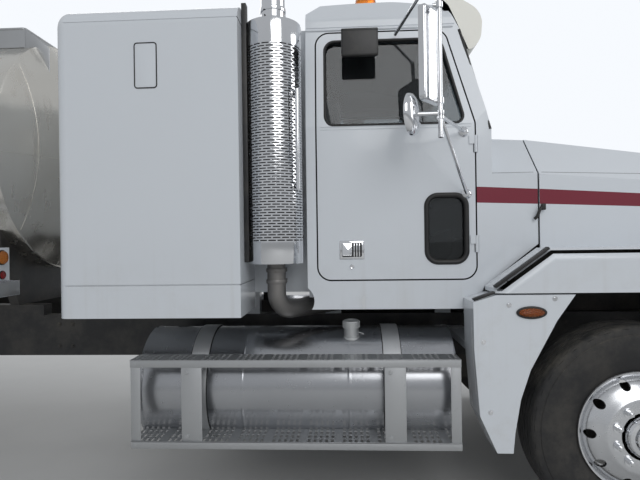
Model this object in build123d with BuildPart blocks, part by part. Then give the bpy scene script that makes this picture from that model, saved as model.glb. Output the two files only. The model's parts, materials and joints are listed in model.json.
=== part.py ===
from build123d import *

import os
from math import asin, cos, radians, sin, sqrt

# A water truck: a conventional tractor cab with a sleeper on a long three-axle chassis, which
# carries a round stainless water tank. Millimetres. +X is forward, +Y the truck's left, +Z up.
# Places along the truck are given as distances behind the front axle, less than 0 ahead of it.

# Overall sizes
overall_length = 10400.0
front_overhang = 1270.0
front_axle_x = overall_length / 2 - front_overhang
rear_end = overall_length - front_overhang
panel_gap = 8.0
seat_gap = 0.3

# Tyres, wheels and axles
tyre_radius = 527.0
tyre_width = 279.0
tyre_bead_radius = 287.0
front_tyre_y = 1030.0
dual_plane_y = 927.0
wheel_offset = 168.0
rear_overhang = 2330.0
bogie_distance = rear_end - rear_overhang
axle_spacing = 1320.0
wheel_disc = 22.0
bolt_circle = 285.75
stud_count = 10
hand_hole_circle_radius = 246.0
hand_hole_radius = 22.0
front_spindle_radius = 40.0
rear_spindle_radius = 45.0
front_spindle_end = front_tyre_y + 195.0
rear_spindle_end = dual_plane_y + 103.0
nut_radius = 18.0
bearing_clearance = 0.05
drum_radius = 203.0
axle_z = tyre_radius

# Steering
kingpin_y = 900.0
kingpin_radius = 25.0
steering_arm_back = 180.0
tie_rod_z = 396.0
tie_rod_radius = 18.0
ball_pin_radius = 12.0

# Chassis
rail_web_y = 425.0
rail_flange = 90.0
rail_height = 266.0
rail_thickness = 8.0
rail_top = 1020.0
rail_front = -1080.0
rail_rear = rear_end - 130.0
rail_bottom = rail_top - rail_height
crossmember_height = 110.0
crossmember_width = 130.0

# Cab
cab_half_width = 980.0
cab_wall = 55.0
cab_back = 1640.0
cab_front = 400.0
cab_skirt_z = 1121.0
cab_floor_z = 1230.0
cab_roof_z = 2850.0
cab_roof_half_width = 900.0
cowl_half_width = 930.0
belt_z = 2107.0
cowl_top_z = 2060.0
roof_top_distance = 1200.0
roof_front_distance = 870.0
roof_front_z = 2790.0
roof_edge_z = 2720.0
windshield_base = 650.0
windshield_top = 800.0
crease_z = 1835.0
cowl_top_half_width = 700.0
roof_corner_radius = 60.0
windshield_top_z = 2640.0

# Doors
door_rear = 1581.0
door_front = 742.0
door_bottom = 1281.0
door_top = 2632.0
door_top_front = 885.0
door_corner = 70.0
window_margin = 46.0
window_corner = 40.0
peep_corner = 60.0
glass_thickness = 5.0
hinge_radius = 9.0
hinge_pin_radius = 5.0
hinge_length = 90.0
hinge_heights = (1420.0, 1950.0)

# Sleeper
sleeper_half_width = 1200.0
sleeper_neck_half_width = 800.0
sleeper_wall = 50.0
sleeper_front = 1960.0
sleeper_rear = 2909.0
sleeper_skirt_z = 1112.0
sleeper_floor_z = 1260.0
sleeper_roof_z = 2700.0
sleeper_roof_seam_z = 2616.0
sleeper_skirt_seam_z = 1276.0
seam_width = 6.0
seam_depth = 4.0

# Hood
hood_rear = cab_front - panel_gap
hood_nose = -1130.0
fender_nose = -1180.0
fender_half_width = 1190.0
fender_top_z = 1440.0
arch_top_z = 1222.0
hood_wall = 10.0
hood_bottom_z = 800.0
hood_pivot_distance = -1200.0
hood_pivot_z = 760.0
hood_pivot_y = 380.0

# Exhaust
stack_distance = 1806.0
stack_y = 1000.0
guard_radius = 149.0
guard_wall = 4.0
guard_bottom = 1380.0
guard_top = 2710.0
muffler_radius = 127.0
pipe_radius = 63.5
stack_top = 3400.0
exhaust_notch_z = 1168.0
exhaust_notch_radius = 85.0

# Fuel tanks and steps
fuel_tank_radius = 305.0
fuel_tank_y = 829.0
fuel_tank_z = 704.0
fuel_tank_front = 873.0
fuel_tank_rear = 2527.0
step_outer_y = 1235.0
upper_step_top = 910.0
lower_step_bottom = 468.0
step_rail_height = 38.0
step_end_width = 50.0
strap_distances = (1200.0, 2208.0)
strap_width = 90.0
drop_width = 105.0

# Water tank
tank_radius = 800.0
tank_z = 2120.0
tank_gap = 601.0
tank_front = sleeper_rear + tank_gap
tank_rear = rear_end - 550.0
head_depth = 270.0
tank_end_inset = 140.0
coaming_inset = 70.0
saddle_distances = (
    tank_front + tank_end_inset,
    tank_front + 1140.0,
    tank_front + 2140.0,
    bogie_distance,
    bogie_distance + 900.0,
    tank_rear - tank_end_inset,
)
saddle_half_width = 560.0
manhole_radius = 255.0
manhole_distance = bogie_distance - 800.0
manhole_top = 2990.0

os.makedirs("parts", exist_ok=True)


def behind(distance):
    """X of a place this far behind the front axle."""
    return front_axle_x - distance


def save(piece, name):
    piece.label = name
    export_step(piece, f"parts/{name}.step")
    return piece


def box_between(low, high, mode=Mode.ADD):
    """A box between two corners, in the part that is being built."""
    size = [b - a for a, b in zip(low, high)]
    middle = [(a + b) / 2 for a, b in zip(low, high)]
    with Locations(tuple(middle)):
        Box(*size, mode=mode)


def bar(start, end, radius, mode=Mode.ADD):
    """A round bar between two points, in the part that is being built."""
    start = Vector(*start)
    end = Vector(*end)
    from_start = (Align.CENTER, Align.CENTER, Align.MIN)
    with Locations(Plane(origin=start, z_dir=end - start).location):
        Cylinder(radius, (end - start).length, align=from_start, mode=mode)


def side_outline(points):
    """Points of a side view, each a distance behind the front axle and a height, as X and Z."""
    return [(behind(distance), z) for distance, z in points]


# The cab is the space common to its side view, front view and plan. Its walls are what is
# left of that space when the same space, smaller by a wall, is taken from it.
cab_side = side_outline(
    [
        (cab_back, cab_skirt_z),
        (cab_back, 2760.0),
        (1560.0, 2825.0),
        (roof_top_distance, cab_roof_z),
        (roof_front_distance, roof_front_z),
        (windshield_top, windshield_top_z),
        (windshield_base, cowl_top_z + 15.0),
        (cab_front, cowl_top_z),
        (cab_front, 1460.0),
        (700.0, 1236.0),
        (760.0, cab_skirt_z),
    ]
)


def cab_space(inset):
    """The room inside the cab's outline, moved in by an inset."""
    with BuildPart() as space:
        with BuildSketch(Plane.XZ):
            with BuildLine():
                Polyline(*cab_side, close=True)
            make_face()
            if inset:
                offset(amount=-inset, kind=Kind.INTERSECTION)
        extrude(amount=cab_half_width, both=True)
        width = cab_half_width - inset
        roof_width = cab_roof_half_width - inset
        with BuildSketch(Plane.YZ.offset(behind(cab_back))) as front_view:
            with BuildLine():
                Polyline(
                    (-width, 0),
                    (-width, belt_z),
                    (-roof_width, roof_edge_z - inset),
                    (-roof_width + 90.0, cab_roof_z),
                    (roof_width - 90.0, cab_roof_z),
                    (roof_width, roof_edge_z - inset),
                    (width, belt_z),
                    (width, 0),
                    close=True,
                )
            make_face()
            roof_corners = front_view.vertices().filter_by(
                lambda corner: corner.Y > belt_z + 100.0
            )
            fillet(roof_corners, max(roof_corner_radius - inset, 8.0))
        extrude(amount=cab_back - cab_front + cab_wall, mode=Mode.INTERSECT)
        with BuildSketch(Plane.XY):
            with BuildLine():
                front_x = behind(cab_front) - inset
                cowl_width = cowl_half_width - inset
                corner_x = behind(door_front)
                Polyline(
                    (front_x, cowl_width),
                    (corner_x, width),
                    (behind(cab_back) + inset, width),
                    (behind(cab_back) + inset, -width),
                    (corner_x, -width),
                    (front_x, -cowl_width),
                )
                ThreePointArc((front_x, -cowl_width), (front_x + 0.1, 0), (front_x, cowl_width))
            make_face()
        extrude(amount=cab_roof_z, mode=Mode.INTERSECT)
        # Ahead of the windshield the cowl slopes in above a crease, as the hood does
        with BuildSketch(Plane.YZ.offset(behind(windshield_base) - inset)) as shoulders:
            with BuildLine():
                Polyline(
                    (cowl_half_width + 5.0 - inset, crease_z - inset / 2),
                    (cowl_top_half_width - inset / 2, cowl_top_z + 2.0 - inset),
                    (cowl_top_half_width - inset / 2, cowl_top_z + 200.0),
                    (cab_half_width + 100.0, cowl_top_z + 200.0),
                    (cab_half_width + 100.0, crease_z - inset / 2),
                    close=True,
                )
            make_face()
            mirror(about=Plane.YZ)
        extrude(amount=windshield_base - cab_front + inset + 10.0, mode=Mode.SUBTRACT)
    return space.part


cab_outer = cab_space(0)
cab_inner = cab_space(cab_wall)
floor_cut_half_width = cab_half_width - cab_wall

door_outline = side_outline(
    [
        (door_rear, door_bottom),
        (door_rear, door_top),
        (door_top_front, door_top),
        (door_front, belt_z),
        (door_front, door_bottom),
    ]
)
window_outline = side_outline(
    [
        (door_rear - window_margin, belt_z),
        (door_rear - window_margin, door_top - window_margin),
        (door_top_front + 20.0, door_top - window_margin),
        (door_front + window_margin, belt_z),
    ]
)
peep_low = (behind(1000.0), 1369.0)
peep_high = (behind(790.0), 1726.0)


prism_in = 600.0


def side_sketch(points, shrink=0.0, corner=0.0):
    """A face in the side view at the cab's middle plane."""
    with BuildSketch(Plane.XZ) as face:
        with BuildLine():
            Polyline(*points, close=True)
        make_face()
        if corner:
            fillet(face.vertices(), corner)
        if shrink:
            offset(amount=-shrink, kind=Kind.INTERSECTION)
    return face.sketch


def side_prism(points, side, shrink=0.0, corner=0.0):
    """A side view's outline as a solid from the cab's seats out past its side."""
    face = side_sketch(points, shrink, corner)
    with BuildPart() as prism:
        with BuildSketch(Plane.XZ.offset(-side * prism_in)):
            add(face)
        extrude(amount=-side * (cab_half_width + 100.0 - prism_in))
    return prism.part


peep_points = [
    (peep_low[0], peep_low[1]),
    (peep_low[0], peep_high[1]),
    (peep_high[0], peep_high[1]),
    (peep_high[0], peep_low[1]),
]


def hinge_barrel(side, z, low, high, radius, mode=Mode.ADD):
    """A length of a door hinge's barrel, on the hinge's axis at the door's front edge."""
    x = behind(door_front) + panel_gap / 2
    y = side * (cab_half_width + 2.0)
    bar((x, y, z + low), (x, y, z + high), radius, mode)


with BuildPart() as cab_shell:
    add(cab_outer)
    add(cab_inner, mode=Mode.SUBTRACT)
    # The floor stands higher than the skirts.
    box_between(
        (behind(cab_back), -floor_cut_half_width, cab_skirt_z - cab_wall),
        (behind(cab_front), floor_cut_half_width, cab_floor_z - cab_wall),
        Mode.SUBTRACT,
    )
    box_between(
        (behind(cab_back - cab_wall / 2), -cab_half_width + cab_wall / 2, cab_floor_z - cab_wall),
        (behind(700.0), cab_half_width - cab_wall / 2, cab_floor_z),
    )
    for side in (-1, 1):
        add(side_prism(door_outline, side, -panel_gap, door_corner), mode=Mode.SUBTRACT)
    # Windshield opening
    with BuildSketch(Plane.YZ.offset(behind(1000.0))):
        with BuildLine():
            Polyline(
                (-850.0, belt_z + 20.0),
                (-790.0, windshield_top_z - 60.0),
                (790.0, windshield_top_z - 60.0),
                (850.0, belt_z + 20.0),
                close=True,
            )
        make_face()
    extrude(amount=1000.0 - cab_front, mode=Mode.SUBTRACT)
    # Way through to the sleeper
    box_between(
        (behind(cab_back + 1.0), -420.0, cab_floor_z),
        (behind(cab_back - 100.0), 420.0, 2600.0),
        Mode.SUBTRACT,
    )
    # Rounded notch in each skirt's rear corner, round the exhaust's elbow
    for side in (-1, 1):
        bar(
            (behind(cab_back + 50.0), side * (cab_half_width - 2 * cab_wall), exhaust_notch_z),
            (behind(cab_back + 50.0), side * (cab_half_width + 10.0), exhaust_notch_z),
            exhaust_notch_radius,
            Mode.SUBTRACT,
        )
    # Mounting feet on the rails
    for distance in (820.0, 1520.0):
        for side in (-1, 1):
            y = side * (rail_web_y - rail_flange / 2)
            box_between(
                (behind(distance + 50.0), y - 40.0, rail_top),
                (behind(distance - 50.0), y + 40.0, cab_floor_z - cab_wall),
            )
    for side in (-1, 1):
        for z in hinge_heights:
            hinge_barrel(side, z, 0, hinge_length / 2, hinge_radius)
            hinge_barrel(side, z, 0, hinge_length, hinge_radius + panel_gap / 2, Mode.SUBTRACT)
            hinge_barrel(side, z, 0, hinge_length / 2, hinge_radius)
            hinge_barrel(side, z, 0, hinge_length, hinge_pin_radius)
save(cab_shell.part, "cab_shell")

# Windshield
windshield_inset = 20.0
wind_outer = cab_space(windshield_inset)
wind_inner = cab_space(windshield_inset + glass_thickness)
with BuildPart() as windshield:
    add(wind_outer)
    add(wind_inner, mode=Mode.SUBTRACT)
    with BuildSketch(Plane.YZ.offset(behind(1000.0))):
        with BuildLine():
            Polyline(
                (-850.0, belt_z + 20.0),
                (-790.0, windshield_top_z - 60.0),
                (790.0, windshield_top_z - 60.0),
                (850.0, belt_z + 20.0),
                close=True,
            )
        make_face()
        offset(amount=-seat_gap, kind=Kind.INTERSECTION)
    extrude(amount=1000.0 - cab_front, mode=Mode.INTERSECT)
save(windshield.part, "windshield")


def make_door(side):
    with BuildPart() as door:
        add(cab_outer)
        add(cab_inner, mode=Mode.SUBTRACT)
        add(side_prism(door_outline, side, 0.0, door_corner), mode=Mode.INTERSECT)
        add(side_prism(window_outline, side, 0.0, window_corner), mode=Mode.SUBTRACT)
        add(side_prism(peep_points, side, 0.0, peep_corner), mode=Mode.SUBTRACT)
        for z in hinge_heights:
            hinge_barrel(side, z, 0, hinge_length, hinge_radius + panel_gap / 2, Mode.SUBTRACT)
            middle = hinge_length / 2 + seat_gap
            hinge_barrel(side, z, middle, hinge_length, hinge_radius)
            bore = hinge_pin_radius + bearing_clearance
            hinge_barrel(side, z, 0, hinge_length, bore, Mode.SUBTRACT)
            x = behind(door_front)
            box_between(
                (x - 30.0, side * (cab_half_width + 2.0) - 5.0, z + middle),
                (x - 3.0, side * (cab_half_width + 2.0) + 5.0, z + hinge_length),
            )
    return door.part


def make_door_glass(side):
    openings = side_prism(window_outline, side, seat_gap, window_corner)
    openings += side_prism(peep_points, side, seat_gap, peep_corner)
    with BuildPart() as glass:
        add(wind_outer)
        add(wind_inner, mode=Mode.SUBTRACT)
        add(openings, mode=Mode.INTERSECT)
    return glass.part


for side, name in ((-1, "right"), (1, "left")):
    save(make_door(side), f"door_{name}")
    save(make_door_glass(side), f"door_glass_{name}")


# The sleeper is made like the cab: a wide box with rounded roof edges, and a narrower neck
# towards the cab that leaves a pocket on each side for an exhaust stack.
roof_edge_radius = 100.0
sleeper_corner_radius = 60.0
neck_rear = sleeper_front + 200.0


def sleeper_space(inset):
    """The room inside the sleeper's outline, moved in by an inset."""
    front_x = behind(cab_back) - seat_gap - inset
    pocket_x = behind(sleeper_front) - inset
    rear_x = behind(sleeper_rear) + inset
    wide = sleeper_half_width - inset
    narrow = sleeper_neck_half_width - inset
    with BuildPart() as space:
        with BuildSketch(Plane.XY.offset(sleeper_skirt_z + inset)):
            with BuildLine():
                Polyline(
                    (front_x, narrow),
                    (pocket_x, narrow),
                    (pocket_x, wide),
                    (rear_x, wide),
                    (rear_x, -wide),
                    (pocket_x, -wide),
                    (pocket_x, -narrow),
                    (front_x, -narrow),
                    close=True,
                )
            make_face()
        extrude(amount=sleeper_roof_z - sleeper_skirt_z - 2 * inset)
        with BuildSketch(Plane.YZ.offset(rear_x)) as front_view:
            with Locations((0, (sleeper_roof_z + sleeper_skirt_z) / 2)):
                Rectangle(2 * wide, sleeper_roof_z - sleeper_skirt_z - 2 * inset)
            top = front_view.vertices().group_by(Axis.Y)[-1]
            fillet(top, roof_edge_radius - inset)
        extrude(amount=sleeper_rear - cab_back, mode=Mode.INTERSECT)
        if not inset:
            rear_outline = space.faces().sort_by(Axis.X)[0].edges()
            lowest = rear_outline.sort_by(Axis.Z)[0]
            fillet([edge for edge in rear_outline if edge != lowest], sleeper_corner_radius)
    return space.part


sleeper_outer = sleeper_space(0)
sleeper_inner = sleeper_space(sleeper_wall)
bunk_top = sleeper_floor_z + 430.0
bunk_front = 2120.0
mattress_height = 150.0

with BuildPart() as sleeper_shell:
    add(sleeper_outer)
    add(sleeper_inner, mode=Mode.SUBTRACT)
    skirt_in = sleeper_half_width - sleeper_wall
    half_wall = sleeper_wall / 2
    box_between(
        (behind(sleeper_rear - sleeper_wall), -skirt_in, sleeper_skirt_z),
        (behind(sleeper_front + sleeper_wall), skirt_in, sleeper_floor_z - sleeper_wall),
        Mode.SUBTRACT,
    )
    box_between(
        (behind(sleeper_front + sleeper_wall + 1.0), 1 - sleeper_neck_half_width, sleeper_skirt_z),
        (behind(cab_back), sleeper_neck_half_width - 1.0, sleeper_floor_z - sleeper_wall),
        Mode.SUBTRACT,
    )
    box_between(
        (behind(sleeper_rear - half_wall), -skirt_in - half_wall, sleeper_floor_z - sleeper_wall),
        (behind(sleeper_front + half_wall), skirt_in + half_wall, sleeper_floor_z),
    )
    neck_in = sleeper_neck_half_width - half_wall
    box_between(
        (behind(sleeper_front + sleeper_wall), -neck_in, sleeper_floor_z - sleeper_wall),
        (behind(cab_back + half_wall), neck_in, sleeper_floor_z),
    )
    # Seams under the roof cap and over the skirt
    for seam_z in (sleeper_roof_seam_z, sleeper_skirt_seam_z):
        with BuildSketch(Plane.XY.offset(seam_z)):
            with Locations((behind((sleeper_front + sleeper_rear) / 2), 0)):
                seam_length = sleeper_rear - sleeper_front
                Rectangle(seam_length + 20.0, 2 * sleeper_half_width + 20.0)
                Rectangle(
                    seam_length - 2 * seam_depth,
                    2 * (sleeper_half_width - seam_depth),
                    mode=Mode.SUBTRACT,
                )
            Rectangle(overall_length, 2 * sleeper_neck_half_width + 60.0, mode=Mode.SUBTRACT)
        extrude(amount=seam_width, mode=Mode.SUBTRACT)
    # The neck's skirts end higher, over the exhaust pipes
    box_between(
        (behind(sleeper_front - 1.0), -sleeper_neck_half_width, sleeper_skirt_z),
        (behind(cab_back), sleeper_neck_half_width, sleeper_floor_z - sleeper_wall - 10.0),
        Mode.SUBTRACT,
    )
    # Bunk base along the back wall
    box_between(
        (behind(sleeper_rear - half_wall), -skirt_in - half_wall, sleeper_floor_z - half_wall),
        (behind(bunk_front), skirt_in + half_wall, bunk_top),
    )
    # Way through to the cab
    box_between(
        (behind(cab_back + sleeper_wall + 2.0), -420.0, sleeper_floor_z),
        (behind(cab_back - 1.0), 420.0, 2600.0),
        Mode.SUBTRACT,
    )
    for distance in (2050.0, 2760.0):
        for side in (-1, 1):
            y = side * (rail_web_y - rail_flange / 2)
            box_between(
                (behind(distance + 50.0), y - 40.0, rail_top),
                (behind(distance - 50.0), y + 40.0, sleeper_floor_z - sleeper_wall),
            )
save(sleeper_shell.part, "sleeper_shell")

with BuildPart() as bunk_mattress:
    box_between(
        (behind(sleeper_rear - sleeper_wall - 10.0), -skirt_in + 10.0, bunk_top + seat_gap),
        (behind(bunk_front + 10.0), skirt_in - 10.0, bunk_top + mattress_height),
    )
    fillet(bunk_mattress.edges().filter_by(Axis.Z), 60.0)
    fillet(bunk_mattress.edges().group_by(Axis.Z)[-1], 40.0)
save(bunk_mattress.part, "bunk_mattress")

# Two seats, each a cushion and a back on one pedestal
seat_distance = 1270.0
seat_y = 480.0
seat_half_width = 250.0
seat_top = cab_floor_z + 480.0

with BuildPart() as seats:
    with BuildSketch(Plane.XZ.offset(seat_y - seat_half_width)):
        with BuildLine():
            Polyline(
                (behind(seat_distance - 260.0), seat_top - 130.0),
                (behind(seat_distance - 260.0), seat_top),
                (behind(seat_distance + 130.0), seat_top - 30.0),
                (behind(seat_distance + 180.0), seat_top + 640.0),
                (behind(seat_distance + 280.0), seat_top + 640.0),
                (behind(seat_distance + 250.0), seat_top - 130.0),
                close=True,
            )
        make_face()
    extrude(amount=2 * seat_half_width)
    fillet(seats.edges().filter_by(Axis.Y), 30.0)
    mirror(about=Plane.XZ)
save(seats.part, "seats")

dash_front = 560.0
dash_rear = 760.0
dash_top = cowl_top_z - cab_wall - 10.0
dash_half_width = cab_half_width - cab_wall - 70.0
dash_gap = 10.0
steering_wheel_radius = 230.0
column_tilt = 35.0
column_y = 480.0
column_end = Vector(behind(930.0), column_y, 1980.0)
column_direction = Vector(-cos(radians(column_tilt)), 0, sin(radians(column_tilt)))
column_radius = 28.0
column_length = 240.0

with BuildPart() as cab_fittings:
    with BuildSketch(Plane.XZ):
        with BuildLine():
            Polyline(
                (behind(dash_front), 1500.0),
                (behind(dash_front), dash_top),
                (behind(dash_rear - 60.0), dash_top),
                (behind(dash_rear), dash_top - 80.0),
                (behind(dash_rear), 1700.0),
                (behind(dash_rear - 80.0), 1500.0),
                close=True,
            )
        make_face()
    extrude(amount=dash_half_width, both=True)
    add(cab_space(cab_wall + dash_gap), mode=Mode.INTERSECT)
    # Steering column, from the dash to the wheel's hub
    start = column_end - column_direction * column_length
    bar(tuple(start), tuple(column_end), column_radius)
    for side in (-1, 1):
        y = side * seat_y
        box_between(
            (behind(seat_distance + 180.0), y - 180.0, cab_floor_z + seat_gap),
            (behind(seat_distance - 200.0), y + 180.0, seat_top - 130.0 - seat_gap),
        )
    # Foot of the dash on the floor
    with BuildSketch(Plane.XZ):
        with BuildLine():
            Polyline(
                (behind(dash_rear + 100.0), cab_floor_z + seat_gap),
                (behind(dash_rear + 100.0), 1500.0),
                (behind(dash_rear - 60.0), 1560.0),
                (behind(dash_rear - 60.0), 1400.0),
                (behind(dash_rear + 14.0), 1320.0),
                (behind(dash_rear + 14.0), cab_floor_z + seat_gap),
                close=True,
            )
        make_face()
    extrude(amount=160.0, both=True)
save(cab_fittings.part, "cab_fittings")

rim_plane = Plane(
    origin=column_end + column_direction * 20.0,
    x_dir=Vector(0, 1, 0),
    z_dir=column_direction,
)
with BuildPart() as steering_wheel:
    with Locations(rim_plane.location):
        Torus(steering_wheel_radius, 16.0)
    with Locations(Plane(origin=column_end + column_direction * seat_gap, z_dir=column_direction).location):
        Cylinder(45.0, 38.0, align=(Align.CENTER, Align.CENTER, Align.MIN))
    for spoke_angle in (90.0, 210.0, 330.0):
        across = rim_plane.from_local_coords(
            Vector(cos(radians(spoke_angle)), sin(radians(spoke_angle)), 0) * steering_wheel_radius
        )
        bar(tuple(rim_plane.origin), tuple(across), 9.0)
save(steering_wheel.part, "steering_wheel")

# Sun visor across the front of the roof
visor_thickness = 8.0
with BuildPart() as sun_visor:
    with BuildSketch(Plane.XZ) as visor_side:
        with BuildLine():
            Polyline(
                (behind(905.0), cab_roof_z - 12.0),
                (behind(811.0), cab_roof_z - 20.0),
                (behind(702.0), cab_roof_z - 90.0),
                (behind(664.0), 2720.0),
                (behind(674.0), 2590.0),
                (behind(729.0), 2524.0),
            )
            offset(amount=visor_thickness, side=Side.RIGHT, closed=True)
        make_face()
    extrude(amount=cab_roof_half_width - 20.0, both=True)
    for side in (-1, 1):
        y = side * (cab_roof_half_width - 60.0)
        bar((behind(706.0), y, cab_roof_z - 94.0), (behind(roof_front_distance), y, 2754.0), 8.0)
    # The struts end on the roof's front
    add(cab_space(-seat_gap), mode=Mode.SUBTRACT)
save(sun_visor.part, "sun_visor")


# The hood is a loft between its rear and nose, hollow below, with a fender on each side. The
# fenders and wheel arches are side views pressed through the hood's width.
def hood_section(distance, half_width, crease_z, top_half_width, top_z, bottom_z, inset):
    """The outline of the hood across the truck, moved in by an inset."""
    with BuildSketch(Plane.YZ.offset(behind(distance))) as section:
        with BuildLine():
            Polyline(
                (-half_width + inset, bottom_z),
                (-half_width + inset, crease_z),
                (-top_half_width, top_z - inset),
                (top_half_width, top_z - inset),
                (half_width - inset, crease_z),
                (half_width - inset, bottom_z),
                close=True,
            )
        make_face()
    return section.sketch


# Each row: distance, half width, crease height, half width of the top, top height
hood_rear_row = (hood_rear, 935.0, crease_z, cowl_top_half_width, cowl_top_z + 2.0)
hood_nose_row = (hood_nose, 610.0, 1760.0, 500.0, 1900.0)


def hood_space(inset):
    rear_section = hood_section(*hood_rear_row, hood_bottom_z, inset)
    nose_section = hood_section(*hood_nose_row, hood_bottom_z, inset)
    with BuildPart() as space:
        add(rear_section)
        add(nose_section)
        loft(ruled=True)
    return space.part


fender_profile = side_outline(
    [
        (700.0, arch_top_z),
        (700.0, arch_top_z + 22.0),
        (430.0, fender_top_z),
        (-600.0, fender_top_z),
        (-1000.0, 1370.0),
        (fender_nose, 1200.0),
        (fender_nose, hood_bottom_z),
        (-575.0, hood_bottom_z),
        (-540.0, 847.0),
        (-321.0, arch_top_z),
    ]
)
arch_room = side_outline(
    [
        (720.0, 700.0),
        (720.0, arch_top_z),
        (-321.0, arch_top_z),
        (-540.0, 847.0),
        (-575.0, hood_bottom_z - 10.0),
        (-575.0, 700.0),
    ]
)
fender_inner_y = 590.0

hood_outer = hood_space(0)
with BuildPart() as hood_room:
    add(hood_space(hood_wall))
    box_between(
        (behind(hood_rear + 50.0), -fender_half_width, hood_bottom_z - 50.0),
        (behind(hood_nose + hood_wall), fender_half_width, hood_bottom_z + 2000.0),
        Mode.INTERSECT,
    )

with BuildPart() as hood:
    add(hood_outer)
    for side in (-1, 1):
        with BuildSketch(Plane.XZ.offset(-side * fender_inner_y)):
            with BuildLine():
                Polyline(*fender_profile, close=True)
            make_face()
        extrude(amount=-side * (fender_half_width - fender_inner_y))
    outer_edges = hood.edges().filter_by(
        lambda edge: abs(abs(edge.center().Y) - fender_half_width) < 1
        and edge.center().Z > arch_top_z + 100.0
        and edge.length > 200.0
    )
    fillet(outer_edges, 60.0)
    add(hood_room.part, mode=Mode.SUBTRACT)
    # Room inside each fender
    for side in (-1, 1):
        with BuildSketch(Plane.XZ.offset(-side * 780.0)):
            with BuildLine():
                Polyline(*fender_profile, close=True)
            make_face()
            offset(amount=-hood_wall, kind=Kind.INTERSECTION)
        extrude(amount=-side * (fender_half_width - hood_wall - 780.0), mode=Mode.SUBTRACT)
    # Wheel room, under the arches and between the fenders
    with BuildSketch(Plane.XZ):
        with BuildLine():
            Polyline(*arch_room, close=True)
        make_face()
    extrude(amount=fender_half_width + 10.0, both=True, mode=Mode.SUBTRACT)
    # The fender's outer skin is open below, so its lower wall is taken out above the wheel
    for side in (-1, 1):
        low_y, high_y = sorted((side * 785.0, side * (fender_half_width - hood_wall)))
        box_between(
            (behind(640.0), low_y, arch_top_z - 5.0),
            (behind(-330.0), high_y, arch_top_z + 60.0),
            Mode.SUBTRACT,
        )
    # Grille opening
    box_between(
        (behind(hood_nose + 50.0), -470.0, 900.0),
        (behind(hood_nose - 50.0), 470.0, 1800.0),
        Mode.SUBTRACT,
    )
    # Behind the cab's line only the fenders' flares go on
    box_between(
        (behind(760.0), -cab_half_width - 5.0, hood_bottom_z - 50.0),
        (behind(hood_rear), cab_half_width + 5.0, 2200.0),
        Mode.SUBTRACT,
    )
    # Hinge arms under the nose
    for side in (-1, 1):
        y = side * hood_pivot_y
        with BuildSketch(Plane.XZ.offset(-y - 8.0)):
            with BuildLine():
                Polyline(
                    (behind(hood_pivot_distance) + 22.0, hood_pivot_z),
                    (behind(hood_pivot_distance), hood_pivot_z - 22.0),
                    (behind(hood_pivot_distance) - 30.0, hood_pivot_z),
                    (behind(hood_nose) - 30.0, hood_bottom_z + 60.0),
                    (behind(hood_nose), hood_bottom_z + 60.0),
                    (behind(hood_nose), hood_bottom_z + 30.0),
                    close=True,
                )
            make_face()
        extrude(amount=16.0)
        bar(
            (behind(hood_pivot_distance), y - 20.0, hood_pivot_z),
            (behind(hood_pivot_distance), y + 20.0, hood_pivot_z),
            10.0 + bearing_clearance,
            Mode.SUBTRACT,
        )
save(hood.part, "hood")

# Grille: a frame with upright bars, in the nose's opening
grille_bar_count = 14
with BuildPart() as grille:
    with BuildSketch(Plane.YZ.offset(behind(hood_nose) - 20.0)):
        with Locations((0, 1350.0)):
            Rectangle(2 * 469.5, 899.0)
            Rectangle(2 * 440.0, 840.0, mode=Mode.SUBTRACT)
            with GridLocations(2 * 440.0 / grille_bar_count, 0, grille_bar_count - 1, 1):
                Rectangle(14.0, 850.0)
    extrude(amount=24.0)
save(grille.part, "grille")

# Headlamps: two square lamps side by side on each fender's front
with BuildPart() as headlamps:
    with BuildSketch(Plane.YZ.offset(behind(fender_nose) + seat_gap)):
        with Locations((-980.0, 1060.0), (-770.0, 1060.0)):
            RectangleRounded(190.0, 150.0, 20.0)
    extrude(amount=18.0)
    mirror(about=Plane.XZ)
save(headlamps.part, "headlamps")

# Lower rear pieces of the fenders, fixed to the cab and frame
with BuildPart() as fender_extensions:
    extension_profile = side_outline(
        [
            (321.0, arch_top_z - panel_gap),
            (700.0, arch_top_z - panel_gap),
            (812.0, 1180.0),
            (810.0, 948.0),
            (786.0, 620.0),
            (705.0, 440.0),
            (628.0, 440.0),
            (618.0, 539.0),
            (589.0, 702.0),
            (540.0, 847.0),
            (411.0, 1087.0),
        ]
    )
    with BuildSketch(Plane.XZ.offset(cab_half_width + 4.0)):
        with BuildLine():
            Polyline(*extension_profile, close=True)
        make_face()
    extrude(amount=fender_half_width - cab_half_width - 4.0)
    with BuildSketch(Plane.XZ.offset(cab_half_width)):
        with BuildLine():
            Polyline(*extension_profile, close=True)
        make_face()
        offset(amount=-hood_wall, kind=Kind.INTERSECTION)
    extrude(amount=fender_half_width - hood_wall - cab_half_width, mode=Mode.SUBTRACT)
    # Stay that holds the piece to the rail
    box_between(
        (behind(800.0), -fender_half_width + 2.0, 900.0),
        (behind(700.0), -rail_web_y - seat_gap, 940.0),
    )
    mirror(about=Plane.XZ)
save(fender_extensions.part, "fender_extensions")

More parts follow.
